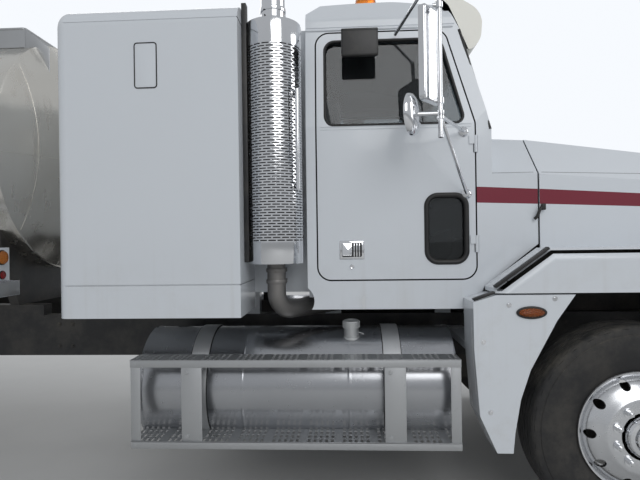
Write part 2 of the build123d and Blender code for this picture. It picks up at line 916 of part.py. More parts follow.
# Bumper: a wide channel whose ends wrap back towards the wheels
bumper_top = 720.0
bumper_bottom = 400.0
bumper_wall = 6.0
bracket_lap = 160.0
bumper_plan = [
    (behind(-front_overhang), 880.0),
    (behind(-front_overhang + 90.0), 1120.0),
    (behind(-780.0), 1200.0),
]
with BuildPart() as front_bumper:
    with BuildSketch(Plane.XY.offset(bumper_bottom)):
        with BuildLine():
            right = [(x, -y) for x, y in bumper_plan]
            Polyline(*reversed(bumper_plan), *right)
            offset(amount=bumper_wall, side=Side.RIGHT, closed=True)
        make_face()
    extrude(amount=bumper_top - bumper_bottom)
    for side in (-1, 1):
        y = side * (rail_web_y - rail_flange / 2)
        # Bracket from the back of the bumper to the underside of the rail
        box_between(
            (behind(rail_front) - bracket_lap, y - 40.0, bumper_top - 60.0),
            (behind(-front_overhang) - bumper_wall + 1.0, y + 40.0, bumper_top),
        )
        box_between(
            (behind(rail_front) - bracket_lap, y - 40.0, bumper_top - 1.0),
            (behind(rail_front), y + 40.0, rail_bottom - seat_gap),
        )
        pin_y = side * hood_pivot_y
        for off in (-22.0, 12.0):
            box_between(
                (behind(hood_pivot_distance) - 20.0, pin_y + off, bumper_top - 10.0),
                (behind(hood_pivot_distance) + 20.0, pin_y + off + 10.0, hood_pivot_z + 20.0),
            )
        bar(
            (behind(hood_pivot_distance), pin_y - 22.0, hood_pivot_z),
            (behind(hood_pivot_distance), pin_y + 22.0, hood_pivot_z),
            10.0,
        )
save(front_bumper.part, "front_bumper")

# Chassis rails: two channels, open towards each other
with BuildPart() as chassis_rails:
    with BuildSketch(Plane.YZ.offset(behind(rail_rear))):
        with BuildLine():
            web = -rail_web_y
            lip = web + rail_flange
            low = rail_top - rail_height
            inner = web + rail_thickness
            Polyline(
                (web, low),
                (web, rail_top),
                (lip, rail_top),
                (lip, rail_top - rail_thickness),
                (inner, rail_top - rail_thickness),
                (inner, low + rail_thickness),
                (lip, low + rail_thickness),
                (lip, low),
                close=True,
            )
        make_face()
    extrude(amount=rail_rear - rail_front)
    mirror(about=Plane.XZ)
save(chassis_rails.part, "chassis_rails")

crossmember_distances = (
    rail_front + 80.0,
    1650.0,
    2900.0,
    bogie_distance - 2500.0,
    bogie_distance - 1500.0,
    bogie_distance,
    bogie_distance + 1200.0,
    rail_rear - crossmember_width / 2 - 5.0,
)
with BuildPart() as crossmembers:
    for distance in crossmember_distances:
        half = rail_web_y - rail_thickness - seat_gap
        top = rail_top - rail_thickness - seat_gap
        with BuildSketch(Plane.YZ.offset(behind(distance) - crossmember_width / 2)):
            with Locations((0, top - crossmember_height / 2)):
                Rectangle(2 * half, crossmember_height)
        extrude(amount=crossmember_width)
        box_between(
            (behind(distance) - crossmember_width / 2 - 1.0, -half - 1.0, top - crossmember_height - 1.0),
            (behind(distance) + crossmember_width / 2 - 10.0, half + 1.0, top - 10.0),
            Mode.SUBTRACT,
        )
save(crossmembers.part, "crossmembers")

# Engine as one plain block, with the gearbox behind it and the radiator ahead of it
engine_front = -700.0
engine_rear = 340.0
gearbox_rear = 1500.0
radiator_distance = -860.0
with BuildPart() as engine_block:
    box_between((behind(engine_rear), -330.0, 620.0), (behind(engine_front), 330.0, 1600.0))
    box_between((behind(gearbox_rear), -230.0, 680.0), (behind(engine_rear - 1.0), 230.0, 1120.0))
    for distance in (-400.0, 250.0):
        half = rail_web_y - rail_thickness - seat_gap
        box_between((behind(distance + 60.0), -half, 800.0), (behind(distance - 60.0), half, 860.0))
    box_between(
        (behind(radiator_distance), -480.0, rail_top),
        (behind(radiator_distance - 90.0), 480.0, 1700.0),
    )
save(engine_block.part, "engine_block")

# Driveshafts from the gearbox to the first drive axle, and between the two drive axles
shaft_radius = 50.0
first_axle = bogie_distance - axle_spacing / 2
second_axle = bogie_distance + axle_spacing / 2
pinion_reach = 380.0
shaft_height = 800.0
centre_bearing = bogie_distance - 3200.0
with BuildPart() as driveshafts:
    bar(
        (behind(gearbox_rear + seat_gap), 0, shaft_height),
        (behind(centre_bearing), 0, shaft_height),
        shaft_radius,
    )
    bar(
        (behind(centre_bearing - 30.0), 0, shaft_height),
        (behind(first_axle - pinion_reach - 10.0), 0, axle_z + 60.0),
        shaft_radius,
    )
    # Centre bearing, hung under a crossmember
    box_between(
        (behind(centre_bearing + 40.0), -80.0, shaft_height - 80.0),
        (behind(centre_bearing - 40.0), 80.0, shaft_height + 80.0),
    )
save(driveshafts.part, "driveshafts")

# Front axle: a dropped beam with an upright bore for the kingpin at each end
beam_width = 90.0
with BuildPart() as front_axle:
    half_beam = [
        (0, 360.0),
        (600.0, 360.0),
        (740.0, 455.0),
        (860.0, 455.0),
        (860.0, 600.0),
        (700.0, 600.0),
        (590.0, 450.0),
        (0, 450.0),
    ]
    with BuildSketch(Plane.YZ.offset(front_axle_x - beam_width / 2)):
        with BuildLine():
            Polyline(*half_beam, close=True)
        make_face()
        mirror(about=Plane.YZ)
    extrude(amount=beam_width)
    for side in (-1, 1):
        y = side * kingpin_y
        bar((front_axle_x, y, 455.0), (front_axle_x, y, 600.0), 50.0)
        bar((front_axle_x, y, 455.0), (front_axle_x, y, 600.0), kingpin_radius + bearing_clearance,
            Mode.SUBTRACT)
save(front_axle.part, "front_axle")


def make_knuckle(side):
    """Kingpin, yoke, spindle and steering arm of one front wheel."""
    x = front_axle_x
    y = side * kingpin_y
    with BuildPart() as knuckle:
        bar((x, y, 425.0), (x, y, 632.0), kingpin_radius)
        for low, high in ((415.0, 452.0), (603.0, 640.0)):
            bar((x, y, low), (x, y, high), 54.0)
            box_between(
                (x - 54.0, min(y, y + side * 80.0), low),
                (x + 54.0, max(y, y + side * 80.0), high),
            )
        inner_y, outer_y = sorted((y + side * 55.0, y + side * 84.0))
        box_between((x - 54.0, inner_y, 415.0), (x + 54.0, outer_y, 640.0))
        bar(
            (x, y + side * 80.0, axle_z),
            (x, side * front_spindle_end, axle_z),
            front_spindle_radius,
        )
        with BuildSketch(Plane.XY.offset(418.0)) as arm:
            with BuildLine():
                Polyline(
                    (x - 30.0, y - 40.0),
                    (x - 30.0, y + 40.0),
                    (x - steering_arm_back - 25.0, y + 22.0),
                    (x - steering_arm_back - 25.0, y - 22.0),
                    close=True,
                )
            make_face()
        extrude(amount=28.0)
        ball_x = x - steering_arm_back
        bar((ball_x, y, tie_rod_z - 22.0), (ball_x, y, 420.0), ball_pin_radius)
    return knuckle.part


for side, name in ((-1, "right"), (1, "left")):
    save(make_knuckle(side), f"knuckle_{name}")

with BuildPart() as tie_rod:
    eye_y = kingpin_y
    eye_x = front_axle_x - steering_arm_back
    bar((eye_x, -eye_y + 20.0, tie_rod_z), (eye_x, eye_y - 20.0, tie_rod_z), tie_rod_radius - 4.0)
    for y in (-eye_y, eye_y):
        bar((eye_x, y, tie_rod_z - 15.0), (eye_x, y, tie_rod_z + 15.0), 28.0)
    for y in (-eye_y, eye_y):
        bar(
            (eye_x, y, tie_rod_z - 16.0),
            (eye_x, y, tie_rod_z + 16.0),
            ball_pin_radius + bearing_clearance,
            Mode.SUBTRACT,
        )
save(tie_rod.part, "tie_rod")

# Leaf springs, each an arched pack with a hanger at both ends up to the rail
# Each row: middle behind the front axle, half length, height of the middle's underside, Y
spring_rows = (
    (0.0, 700.0, 450.0 + seat_gap, rail_web_y - 40.0),
    (first_axle, 520.0, axle_z + 70.0 + seat_gap, 520.0),
    (second_axle, 520.0, axle_z + 70.0 + seat_gap, 520.0),
)
spring_width = 80.0
with BuildPart() as leaf_springs:
    for middle, half_length, low_z, spring_y in spring_rows:
        x = behind(middle)
        eye_z = low_z + 170.0
        with BuildSketch(Plane.XZ.offset(spring_y - spring_width / 2)):
            with BuildLine():
                ThreePointArc((x - half_length, eye_z), (x, low_z), (x + half_length, eye_z))
                Line((x + half_length, eye_z), (x + half_length, eye_z + 25.0))
                ThreePointArc(
                    (x + half_length, eye_z + 25.0), (x, low_z + 75.0), (x - half_length, eye_z + 25.0)
                )
                Line((x - half_length, eye_z + 25.0), (x - half_length, eye_z))
            make_face()
        extrude(amount=spring_width)
        for end in (-1, 1):
            end_x = x + end * (half_length - 20.0)
            inner = rail_web_y + seat_gap if spring_y > rail_web_y else spring_y - 36.0
            top = rail_bottom - seat_gap if spring_y < rail_web_y else rail_bottom + 120.0
            box_between(
                (end_x - 35.0, -spring_y - 36.0, eye_z - 10.0),
                (end_x + 35.0, -inner, top),
            )
    mirror(about=Plane.XZ)
save(leaf_springs.part, "leaf_springs")

# Drive axles: a tube with a round housing for the gears, and a spindle at each end
housing_radius = 70.0
with BuildPart() as drive_axles:
    for distance in (first_axle, second_axle):
        x = behind(distance)
        bar((x, -705.0, axle_z), (x, 705.0, axle_z), housing_radius)
        bar((x, -rear_spindle_end, axle_z), (x, rear_spindle_end, axle_z), rear_spindle_radius)
        with Locations((x, 0, axle_z)):
            Sphere(190.0)
        bar((x, 0, axle_z + 60.0), (x + pinion_reach, 0, axle_z + 60.0), 90.0)
save(drive_axles.part, "drive_axles")


# Wheel nuts and hand holes alternate round the wheel, and the seam of what is turned passes
# between two of them
hand_hole_angle = 0.0
nut_angle = 180.0 / stud_count
wheel_seam_angle = 4.5 * nut_angle

# A wheel is made for the right side with its axis through the origin. In this plane X runs out
# from the truck, and Y is the radius.
wheel_out = Vector(0, -1, 0)
wheel_seam = Vector(cos(radians(wheel_seam_angle)), 0, sin(radians(wheel_seam_angle)))
wheel_plane = Plane(origin=(0, 0, 0), x_dir=wheel_out, z_dir=wheel_out.cross(wheel_seam))


def turned(points, mode=Mode.ADD):
    """A profile of distances out from the truck and radii, turned about the wheel's axis."""
    with BuildSketch(wheel_plane) as profile:
        with BuildLine():
            Polyline(*points, close=True)
        make_face()
    revolve(profile.sketch, axis=Axis((0, 0, 0), wheel_out * -1), mode=mode)


def turned_wheel(outlines, bore):
    """One solid of revolution from outlines of distances out and radii, with a blind bore."""
    with BuildSketch(wheel_plane) as profile:
        for points in outlines:
            with BuildLine():
                Polyline(*points, close=True)
            make_face()
        start, end, radius = bore
        with BuildLine():
            Polyline((start, 0), (start, radius), (end, radius), (end, 0), close=True)
        make_face(mode=Mode.SUBTRACT)
    revolve(profile.sketch, axis=Axis((0, 0, 0), wheel_out * -1))


def shifted(points, middle, direction=1):
    """A profile's points moved out to a wheel's middle, or turned to face the other way."""
    return [(middle + direction * out, radius) for out, radius in points]


def wheel_places(distance):
    """Where a wheel made for the right side goes on each side of an axle."""
    for name, turn in (("right", 0.0), ("left", 180.0)):
        yield name, Location((behind(distance), 0, axle_z), (0, 0, turn))


rim_profile = [
    (-112.0, 300.0),
    (-100.0, 300.0),
    (-100.0, 286.7),
    (-55.0, 262.0),
    (55.0, 262.0),
    (100.0, 286.7),
    (100.0, 300.0),
    (112.0, 300.0),
    (100.0, 274.0),
    (50.0, 248.0),
    (-50.0, 248.0),
    (-100.0, 274.0),
]
disc_profile = [
    (80.0, 270.0),
    (108.0, 273.0),
    (108.0, 219.0),
    (wheel_offset - wheel_disc, 184.0),
    (wheel_offset - wheel_disc, 100.0),
    (wheel_offset, 100.0),
    (wheel_offset, 190.0),
    (130.0, 219.0),
    (130.0, 273.0),
    (100.0, 281.0),
]


def stud_ring(start, length):
    """Wheel nuts on their circle, standing out from a face."""
    face = Plane(origin=wheel_out * start, x_dir=(1, 0, 0), z_dir=wheel_out)
    with BuildSketch(face) as nuts:
        with PolarLocations(bolt_circle / 2, stud_count, start_angle=nut_angle):
            RegularPolygon(nut_radius, 6)
    extrude(nuts.sketch, amount=length)


def hand_holes(start, length):
    face = Plane(origin=wheel_out * start, x_dir=(1, 0, 0), z_dir=wheel_out)
    with BuildSketch(face) as holes:
        with PolarLocations(hand_hole_circle_radius, stud_count, start_angle=hand_hole_angle):
            Circle(hand_hole_radius)
    extrude(holes.sketch, amount=length, mode=Mode.SUBTRACT)


front_hub = [
    (-36.0, 0),
    (-36.0, drum_radius),
    (120.0, drum_radius),
    (wheel_offset - 12.0, 172.0),
    (wheel_offset - 12.0, 90.0),
    (wheel_offset + 40.0, 84.0),
    (wheel_offset + 62.0, 62.0),
    (wheel_offset + 62.0, 0),
]
with BuildPart() as front_wheel:
    middle = front_tyre_y
    outlines = [shifted(points, middle) for points in (rim_profile, disc_profile, front_hub)]
    bore = (middle - 40.0, front_spindle_end + 6.0, front_spindle_radius + bearing_clearance)
    turned_wheel(outlines, bore)
    hand_holes(middle + 60.0, 110.0)
    stud_ring(middle + wheel_offset - 3.0, 38.0)

# Two wheels back to back on one hub and drum
dual_middles = (dual_plane_y - wheel_offset, dual_plane_y + wheel_offset)
dual_hub = [
    (-212.0, 0),
    (-212.0, drum_radius),
    (-60.0, drum_radius),
    (-wheel_disc / 2, 172.0),
    (-wheel_disc / 2, 96.0),
    (130.0, 96.0),
    (136.0, 90.0),
    (136.0, 0),
]
with BuildPart() as dual_wheels:
    middle = dual_plane_y
    outlines = [shifted(points, dual_middles[0]) for points in (rim_profile, disc_profile)]
    outlines += [shifted(points, dual_middles[1], -1) for points in (rim_profile, disc_profile)]
    outlines.append(shifted(dual_hub, middle))
    bore = (middle - 214.0, rear_spindle_end + 6.0, rear_spindle_radius + bearing_clearance)
    turned_wheel(outlines, bore)
    hand_holes(middle + 2.0, wheel_offset - 30.0)
    stud_ring(middle + wheel_disc - 3.0, 40.0)


# A tyre is a band of flats, each as long as a block of its tread, and stands on one of them.
# Each row: distance out from the tyre's middle, distance of the flats from the axis
tyre_flats = 36
bead_out = 99.7
tyre_rows = (
    (-bead_out, tyre_bead_radius),
    (-bead_out, tyre_bead_radius + 18.0),
    (-tyre_width / 2, 415.0),
    (-tyre_width / 2 + 26.0, tyre_radius),
    (tyre_width / 2 - 26.0, tyre_radius),
    (tyre_width / 2, 415.0),
    (bead_out, tyre_bead_radius + 18.0),
    (bead_out, tyre_bead_radius),
)


def flat_corners(out, radius):
    """Corners of a regular outline across the axis, with one of its flats at the foot."""
    corner_radius = radius / cos(radians(180.0 / tyre_flats))
    turns = [radians(360.0 * (number + 0.5) / tyre_flats - 90.0) for number in range(tyre_flats)]
    return [Vector(corner_radius * cos(t), -out, corner_radius * sin(t)) for t in turns]


def make_tyres(middles):
    with BuildPart() as tyres:
        for middle in middles:
            rings = [flat_corners(middle + out, radius) for out, radius in tyre_rows]
            faces = []
            for ring, after in zip(rings, rings[1:] + rings[:1]):
                for number in range(tyre_flats):
                    step = (number + 1) % tyre_flats
                    corners = [ring[number], ring[step], after[step], after[number]]
                    faces.append(Face(Wire.make_polygon(corners)))
            add(Solid(Shell(faces)))
    return tyres.part


front_tyre = make_tyres((front_tyre_y,))
dual_tyres = make_tyres(dual_middles)
for name, place in wheel_places(0):
    save(front_wheel.part.moved(place), f"front_wheel_{name}")
    save(front_tyre.moved(place), f"front_tyre_{name}")
for distance, axle in ((first_axle, "mid"), (second_axle, "rear")):
    for name, place in wheel_places(distance):
        save(dual_wheels.part.moved(place), f"dual_wheels_{axle}_{name}")
        save(dual_tyres.moved(place), f"dual_tyres_{axle}_{name}")

# Mirrors on each door: an upright tube with a tall mirror and a small round one, held by a
# top arm, a short arm at the belt and a diagonal stay, and a small mirror that looks down
mirror_tube_distance = 965.0
mirror_y = 1350.0
mirror_tube_radius = 11.0
mirror_half_width = 89.0


def cab_side_y(z):
    """How far out the cab's side is at a height above the belt."""
    lean = (cab_half_width - cab_roof_half_width) / (roof_edge_z - belt_z)
    return cab_half_width - (z - belt_z) * lean


def make_mirrors(side):
    x = behind(mirror_tube_distance)
    y = side * mirror_y
    face_y = side * (cab_half_width + seat_gap)
    with BuildPart() as mirrors:
        bar((x, y, 1960.0), (x, y, 2760.0), mirror_tube_radius)
        bar((x, y, 2750.0), (behind(1150.0), side * 940.0, 2604.0), 9.0)
        for pad_distance, pad_z in ((800.0, 2060.0), (790.0, 1730.0)):
            bar((x, y, 2060.0), (behind(pad_distance), face_y + side * 14.0, pad_z), 9.0)
            bar(
                (behind(pad_distance), face_y, pad_z),
                (behind(pad_distance), face_y + side * 20.0, pad_z),
                18.0,
            )
        with Locations(Location((x - 32.0, y - side * 40.0, 2352.0), (0, 0, side * 20.0))):
            Box(32.0, 2 * mirror_half_width, 440.0)
        bar((x - 30.0, y, 2130.0), (x, y, 2130.0), 9.0)
        bar((x - 30.0, y, 2570.0), (x, y, 2570.0), 9.0)
        with Locations(Location((x - 120.0, y, 2071.0), (0, 90, 0))):
            Cylinder(100.0, 36.0)
        bar((x - 120.0, y, 2071.0), (x, y, 2071.0), 12.0)
        # The mirror that looks down, over the door's window
        low_y, high_y = sorted((side * (cab_side_y(2590.0) + 1.0), side * 1060.0))
        box_between((behind(1417.0), low_y, 2590.0), (behind(1224.0), high_y, 2612.0))
        low_y, high_y = sorted((side * 1030.0, side * 1060.0))
        box_between((behind(1417.0), low_y, 2467.0), (behind(1224.0), high_y, 2600.0))
    return mirrors.part


for side, name in ((-1, "right"), (1, "left")):
    save(make_mirrors(side), f"mirrors_{name}")

channel_half_width = 40.0
channel_lap = 8.0

# Exhaust: a muffler in a round guard beside the sleeper, its pipe up past the roof and forward
# under the cab to the engine
with BuildPart() as exhaust_guards:
    with BuildSketch(Plane.XY.offset(guard_bottom)):
        with Locations((behind(stack_distance), -stack_y)):
            Circle(guard_radius)
            Circle(guard_radius - guard_wall, mode=Mode.SUBTRACT)
    extrude(amount=guard_top - guard_bottom)
    # Upright channel that carries the guard on the sleeper's front wall
    box_between(
        (behind(sleeper_front) + seat_gap, -stack_y - channel_half_width, guard_bottom),
        (
            behind(stack_distance + guard_radius) + channel_lap,
            -stack_y + channel_half_width,
            guard_top,
        ),
    )
    with BuildSketch(Plane.XY.offset(guard_bottom)):
        with Locations((behind(stack_distance), -stack_y)):
            Circle(guard_radius - guard_wall)
    extrude(amount=guard_top - guard_bottom, mode=Mode.SUBTRACT)
    mirror(about=Plane.XZ)
save(exhaust_guards.part, "exhaust_guards")

exhaust_low_z = 1120.0
clamp_height = 14.0
with BuildPart() as exhaust_pipes:
    x = behind(stack_distance)
    bar((x, -stack_y, 1450.0), (x, -stack_y, 2600.0), muffler_radius)
    bar((x, -stack_y, 2590.0), (x, -stack_y, stack_top), pipe_radius)
    # Clamps that hold the muffler in its guard
    for z in (1500.0, 2550.0):
        clamp_radius = guard_radius - guard_wall - seat_gap
        bar((x, -stack_y, z), (x, -stack_y, z + clamp_height), clamp_radius)
    with BuildLine() as route:
        FilletPolyline(
            (x, -stack_y, 1460.0),
            (x, -stack_y, exhaust_low_z),
            (behind(1380.0), -520.0, exhaust_low_z),
            (behind(150.0), -520.0, exhaust_low_z),
            (behind(150.0), -330.0 - seat_gap, exhaust_low_z),
            radius=110.0,
        )
    with BuildSketch(Plane(origin=(x, -stack_y, 1460.0), z_dir=(0, 0, -1))):
        Circle(50.0)
    sweep()
    mirror(about=Plane.XZ)
save(exhaust_pipes.part, "exhaust_pipes")

# Fuel tanks: a cylinder on each side of the frame
with BuildPart() as fuel_tanks:
    with BuildSketch(Plane.YZ.offset(behind(fuel_tank_rear))):
        with Locations((-fuel_tank_y, fuel_tank_z)):
            Circle(fuel_tank_radius)
    extrude(amount=fuel_tank_rear - fuel_tank_front)
    fillet(fuel_tanks.edges().filter_by(GeomType.CIRCLE), 25.0)
    bar(
        (behind(1409.0), -940.0, fuel_tank_z + 240.0),
        (behind(1409.0), -985.0, fuel_tank_z + 345.0),
        45.0,
    )
    mirror(about=Plane.XZ)
save(fuel_tanks.part, "fuel_tanks")

# Steps: two treads between end plates, hung on the straps that hold each tank
with BuildPart() as side_steps:
    for distance in strap_distances:
        with BuildSketch(Plane.YZ.offset(behind(distance) - strap_width / 2)) as strap:
            with Locations((-fuel_tank_y, fuel_tank_z)):
                Circle(fuel_tank_radius + seat_gap + 5.0)
            with Locations((-fuel_tank_y + 200.0, fuel_tank_z)):
                Rectangle(408.0 - 2 * seat_gap, 330.0)
            with Locations((-fuel_tank_y, fuel_tank_z)):
                Circle(fuel_tank_radius + seat_gap, mode=Mode.SUBTRACT)
        extrude(amount=strap_width)
        # Drop from the strap to the lower tread
        box_between(
            (behind(distance) - drop_width / 2, -step_outer_y + 5.0, lower_step_bottom + 4.0),
            (behind(distance) + drop_width / 2, -step_outer_y + 12.0, upper_step_top - 4.0),
        )
        box_between(
            (behind(distance) - strap_width / 2, -step_outer_y + 5.0, upper_step_top - 60.0),
            (behind(distance) + strap_width / 2, -fuel_tank_y - 260.0, upper_step_top - 40.0),
        )
    step_front = behind(fuel_tank_front + 10.0)
    step_rear = behind(fuel_tank_rear - 10.0)
    # Each row: top of the tread, how far in it reaches
    for tread_top, tread_in in (
        (upper_step_top, 1105.0),
        (lower_step_bottom + step_rail_height, 1020.0),
    ):
        rail_low = tread_top - step_rail_height
        box_between((step_rear, -step_outer_y, rail_low), (step_front, -step_outer_y + 6.0, tread_top))
        box_between((step_rear, -step_outer_y, tread_top - 6.0), (step_front, -tread_in, tread_top))
    # A flat upright closes each end
    for end in (step_rear, step_front - step_end_width):
        box_between(
            (end, -step_outer_y + 5.0, lower_step_bottom + 4.0),
            (end + step_end_width, -step_outer_y + 11.0, upper_step_top - 4.0),
        )
    bar(
        (step_rear, -fuel_tank_y, fuel_tank_z),
        (step_front, -fuel_tank_y, fuel_tank_z),
        fuel_tank_radius + seat_gap,
        Mode.SUBTRACT,
    )
    mirror(about=Plane.XZ)
save(side_steps.part, "side_steps")

# Water tank: a round shell with dished heads
head_radius = (tank_radius**2 + head_depth**2) / (2 * head_depth)
half_turn = asin(tank_radius / head_radius) / 2
with BuildPart() as water_tank:
    with BuildSketch(Plane.XZ):
        with BuildLine():
            apexes = []
            for end_x, out in ((behind(tank_front), 1), (behind(tank_rear), -1)):
                centre_x = end_x + out * (head_depth - head_radius)
                apexes.append((centre_x + out * head_radius, tank_z))
                ThreePointArc(
                    (end_x, tank_z + tank_radius),
                    (
                        centre_x + out * head_radius * cos(half_turn),
                        tank_z + head_radius * sin(half_turn),
                    ),
                    apexes[-1],
                )
            Line((behind(tank_front), tank_z + tank_radius), (behind(tank_rear), tank_z + tank_radius))
            Line(*apexes)
        make_face()
    revolve(axis=Axis((0, 0, tank_z), (1, 0, 0)))
save(water_tank.part, "water_tank")

# Cradle: a sill along each rail and saddles shaped to the tank
sill_height = 70.0
saddle_thickness = 60.0
with BuildPart() as tank_cradle:
    for side in (-1, 1):
        low_y, high_y = sorted((side * rail_web_y, side * (rail_web_y - rail_flange)))
        box_between(
            (behind(tank_rear + 100.0), low_y, rail_top),
            (behind(tank_front - 60.0), high_y, rail_top + sill_height),
        )
    for distance in saddle_distances:
        with BuildSketch(Plane.YZ.offset(behind(distance) - saddle_thickness / 2)):
            with BuildLine():
                Polyline(
                    (-rail_web_y, rail_top + sill_height - 1.0),
                    (-saddle_half_width - 40.0, 1480.0),
                    (-saddle_half_width - 40.0, 1640.0),
                    (saddle_half_width + 40.0, 1640.0),
                    (saddle_half_width + 40.0, 1480.0),
                    (rail_web_y, rail_top + sill_height - 1.0),
                    close=True,
                )
            make_face()
            with Locations((0, tank_z)):
                Circle(tank_radius + seat_gap, mode=Mode.SUBTRACT)
        extrude(amount=saddle_thickness)
save(tank_cradle.part, "tank_cradle")

# Hose trays: a channel along each side of the tank on brackets from the saddles
tray_distance_front = tank_front - 250.0
lamp_plate_distance = tank_front - 70.0
tray_distance_rear = tank_rear - 680.0
tray_z = 1215.0
tray_out = 1190.0
tray_in = 960.0
tray_wall = 4.0
tray_bracket_distances = (
    tank_front + 340.0,
    tank_front + 940.0,
    bogie_distance - 1500.0,
    bogie_distance - 900.0,
    bogie_distance - 270.0,
    bogie_distance + 600.0,
)
with BuildPart() as hose_trays:
    with BuildSketch(Plane.YZ.offset(behind(tray_distance_rear))):
        with Locations((-(tray_out + tray_in) / 2, tray_z + 40.0)):
            Rectangle(tray_out - tray_in, 80.0)
        with Locations((-(tray_out + tray_in) / 2, tray_z + 40.0 + tray_wall)):
            Rectangle(tray_out - tray_in - 2 * tray_wall, 80.0, mode=Mode.SUBTRACT)
    extrude(amount=tray_distance_rear - tray_distance_front)
    # Lamp plate at the front
    box_between(
        (behind(lamp_plate_distance), -930.0, tray_z - 1.0),
        (behind(lamp_plate_distance - 6.0), -790.0, 1478.0),
    )
    box_between(
        (behind(lamp_plate_distance), -tray_in - 10.0, tray_z - 1.0),
        (behind(lamp_plate_distance - 6.0), -900.0, tray_z + 40.0),
    )
    # Brackets that the channel lies on: a leg on the rail's side and an arm under the channel
    for distance in tray_bracket_distances:
        arm_top = tray_z - seat_gap
        box_between(
            (behind(distance) - 30.0, -tray_out + 20.0, arm_top - 40.0),
            (behind(distance) + 30.0, -rail_web_y - seat_gap, arm_top),
        )
        box_between(
            (behind(distance) - 30.0, -rail_web_y - 60.0, rail_top - 150.0),
            (behind(distance) + 30.0, -rail_web_y - seat_gap, arm_top),
        )
    mirror(about=Plane.XZ)
save(hose_trays.part, "hose_trays")

# Top rails, walkway and rear ladder
coaming_y = 380.0
coaming_top = 2960.0
coaming_front = tank_front + coaming_inset
coaming_rear = tank_rear - 2 * coaming_inset
coaming_wall = 8.0
surface_z = tank_z + sqrt((tank_radius + seat_gap) ** 2 - coaming_y**2)
ladder_y = 200.0
ladder_distance = tank_rear + head_depth + 80.0
with BuildPart() as tank_top_rails:
    for side in (-1, 1):
        low_y, high_y = sorted((side * coaming_y, side * (coaming_y - coaming_wall)))
        inner_surface = tank_z + sqrt((tank_radius + seat_gap) ** 2 - (coaming_y - coaming_wall) ** 2)
        box_between((behind(coaming_rear), low_y, inner_surface), (behind(coaming_front), high_y, coaming_top))
    for distance in (coaming_front, coaming_rear - coaming_wall):
        with BuildSketch(Plane.YZ.offset(behind(distance) - coaming_wall)):
            with BuildLine():
                Polyline(
                    (-coaming_y, surface_z - 40.0),
                    (-coaming_y, coaming_top),
                    (coaming_y, coaming_top),
                    (coaming_y, surface_z - 40.0),
                    close=True,
                )
            make_face()
            with Locations((0, tank_z)):
                Circle(tank_radius + seat_gap, mode=Mode.SUBTRACT)
        extrude(amount=coaming_wall)
save(tank_top_rails.part, "tank_top_rails")

# Ladder at the back: stiles from the last crossmember, arms to the coaming, and rungs
ladder_top = coaming_top + 30.0
rung_count = 7
rung_rise = 300.0
stile_radius = 16.0
rung_radius = 12.0
with BuildPart() as tank_ladder:
    foot_z = rail_top - rail_thickness
    arm_start = behind(ladder_distance) + stile_radius + seat_gap
    rung_end = ladder_y - stile_radius - seat_gap
    for side in (-1, 1):
        y = side * ladder_y
        bar((behind(ladder_distance), y, foot_z), (behind(ladder_distance), y, ladder_top), stile_radius)
        bar(
            (arm_start, y, coaming_top - 20.0),
            (behind(coaming_rear + seat_gap), y, coaming_top - 20.0),
            stile_radius,
        )
    for rung in range(rung_count):
        z = foot_z + 78.0 + rung * rung_rise
        bar((behind(ladder_distance), -rung_end, z), (behind(ladder_distance), rung_end, z), rung_radius)
save(tank_ladder.part, "tank_ladder")

# Manhole collar and its hinged lid
lid_gap = 0.5
lid_hinge_out = 60.0
with BuildPart() as manhole_collar:
    with BuildSketch(Plane.XY.offset(tank_z)):
        with Locations((behind(manhole_distance), 0)):
            Circle(manhole_radius)
            Circle(manhole_radius - 12.0, mode=Mode.SUBTRACT)
    extrude(amount=manhole_top - tank_z)
    add(water_tank.part, mode=Mode.SUBTRACT)
    hinge_x = behind(manhole_distance + manhole_radius + lid_hinge_out)
    for side in (-1, 1):
        low_y, high_y = sorted((side * 30.0, side * 44.0))
        box_between(
            (hinge_x - 12.0, low_y, manhole_top - 50.0),
            (behind(manhole_distance + manhole_radius - 10.0), high_y, manhole_top - 8.0),
        )
        box_between((hinge_x - 12.0, low_y, manhole_top - 50.0), (hinge_x + 12.0, high_y, manhole_top + 18.0))
    bar((hinge_x, -44.0, manhole_top + 6.0), (hinge_x, 44.0, manhole_top + 6.0), 6.0)
save(manhole_collar.part, "manhole_collar")

with BuildPart() as manhole_lid:
    with BuildSketch(Plane.XY.offset(manhole_top + lid_gap)):
        with Locations((behind(manhole_distance), 0)):
            Circle(manhole_radius + 15.0)
    extrude(amount=12.0)
    fillet(manhole_lid.edges().group_by(Axis.Z)[-1], 8.0)
    box_between(
        (hinge_x, -24.0, manhole_top + lid_gap),
        (behind(manhole_distance + manhole_radius), 24.0, manhole_top + 12.0),
    )
    bar((hinge_x, -24.0, manhole_top + 6.0), (hinge_x, 24.0, manhole_top + 6.0), 14.0)
    bar((hinge_x, -30.0, manhole_top + 6.0), (hinge_x, 30.0, manhole_top + 6.0), 6.0 + bearing_clearance,
        Mode.SUBTRACT)
save(manhole_lid.part, "manhole_lid")

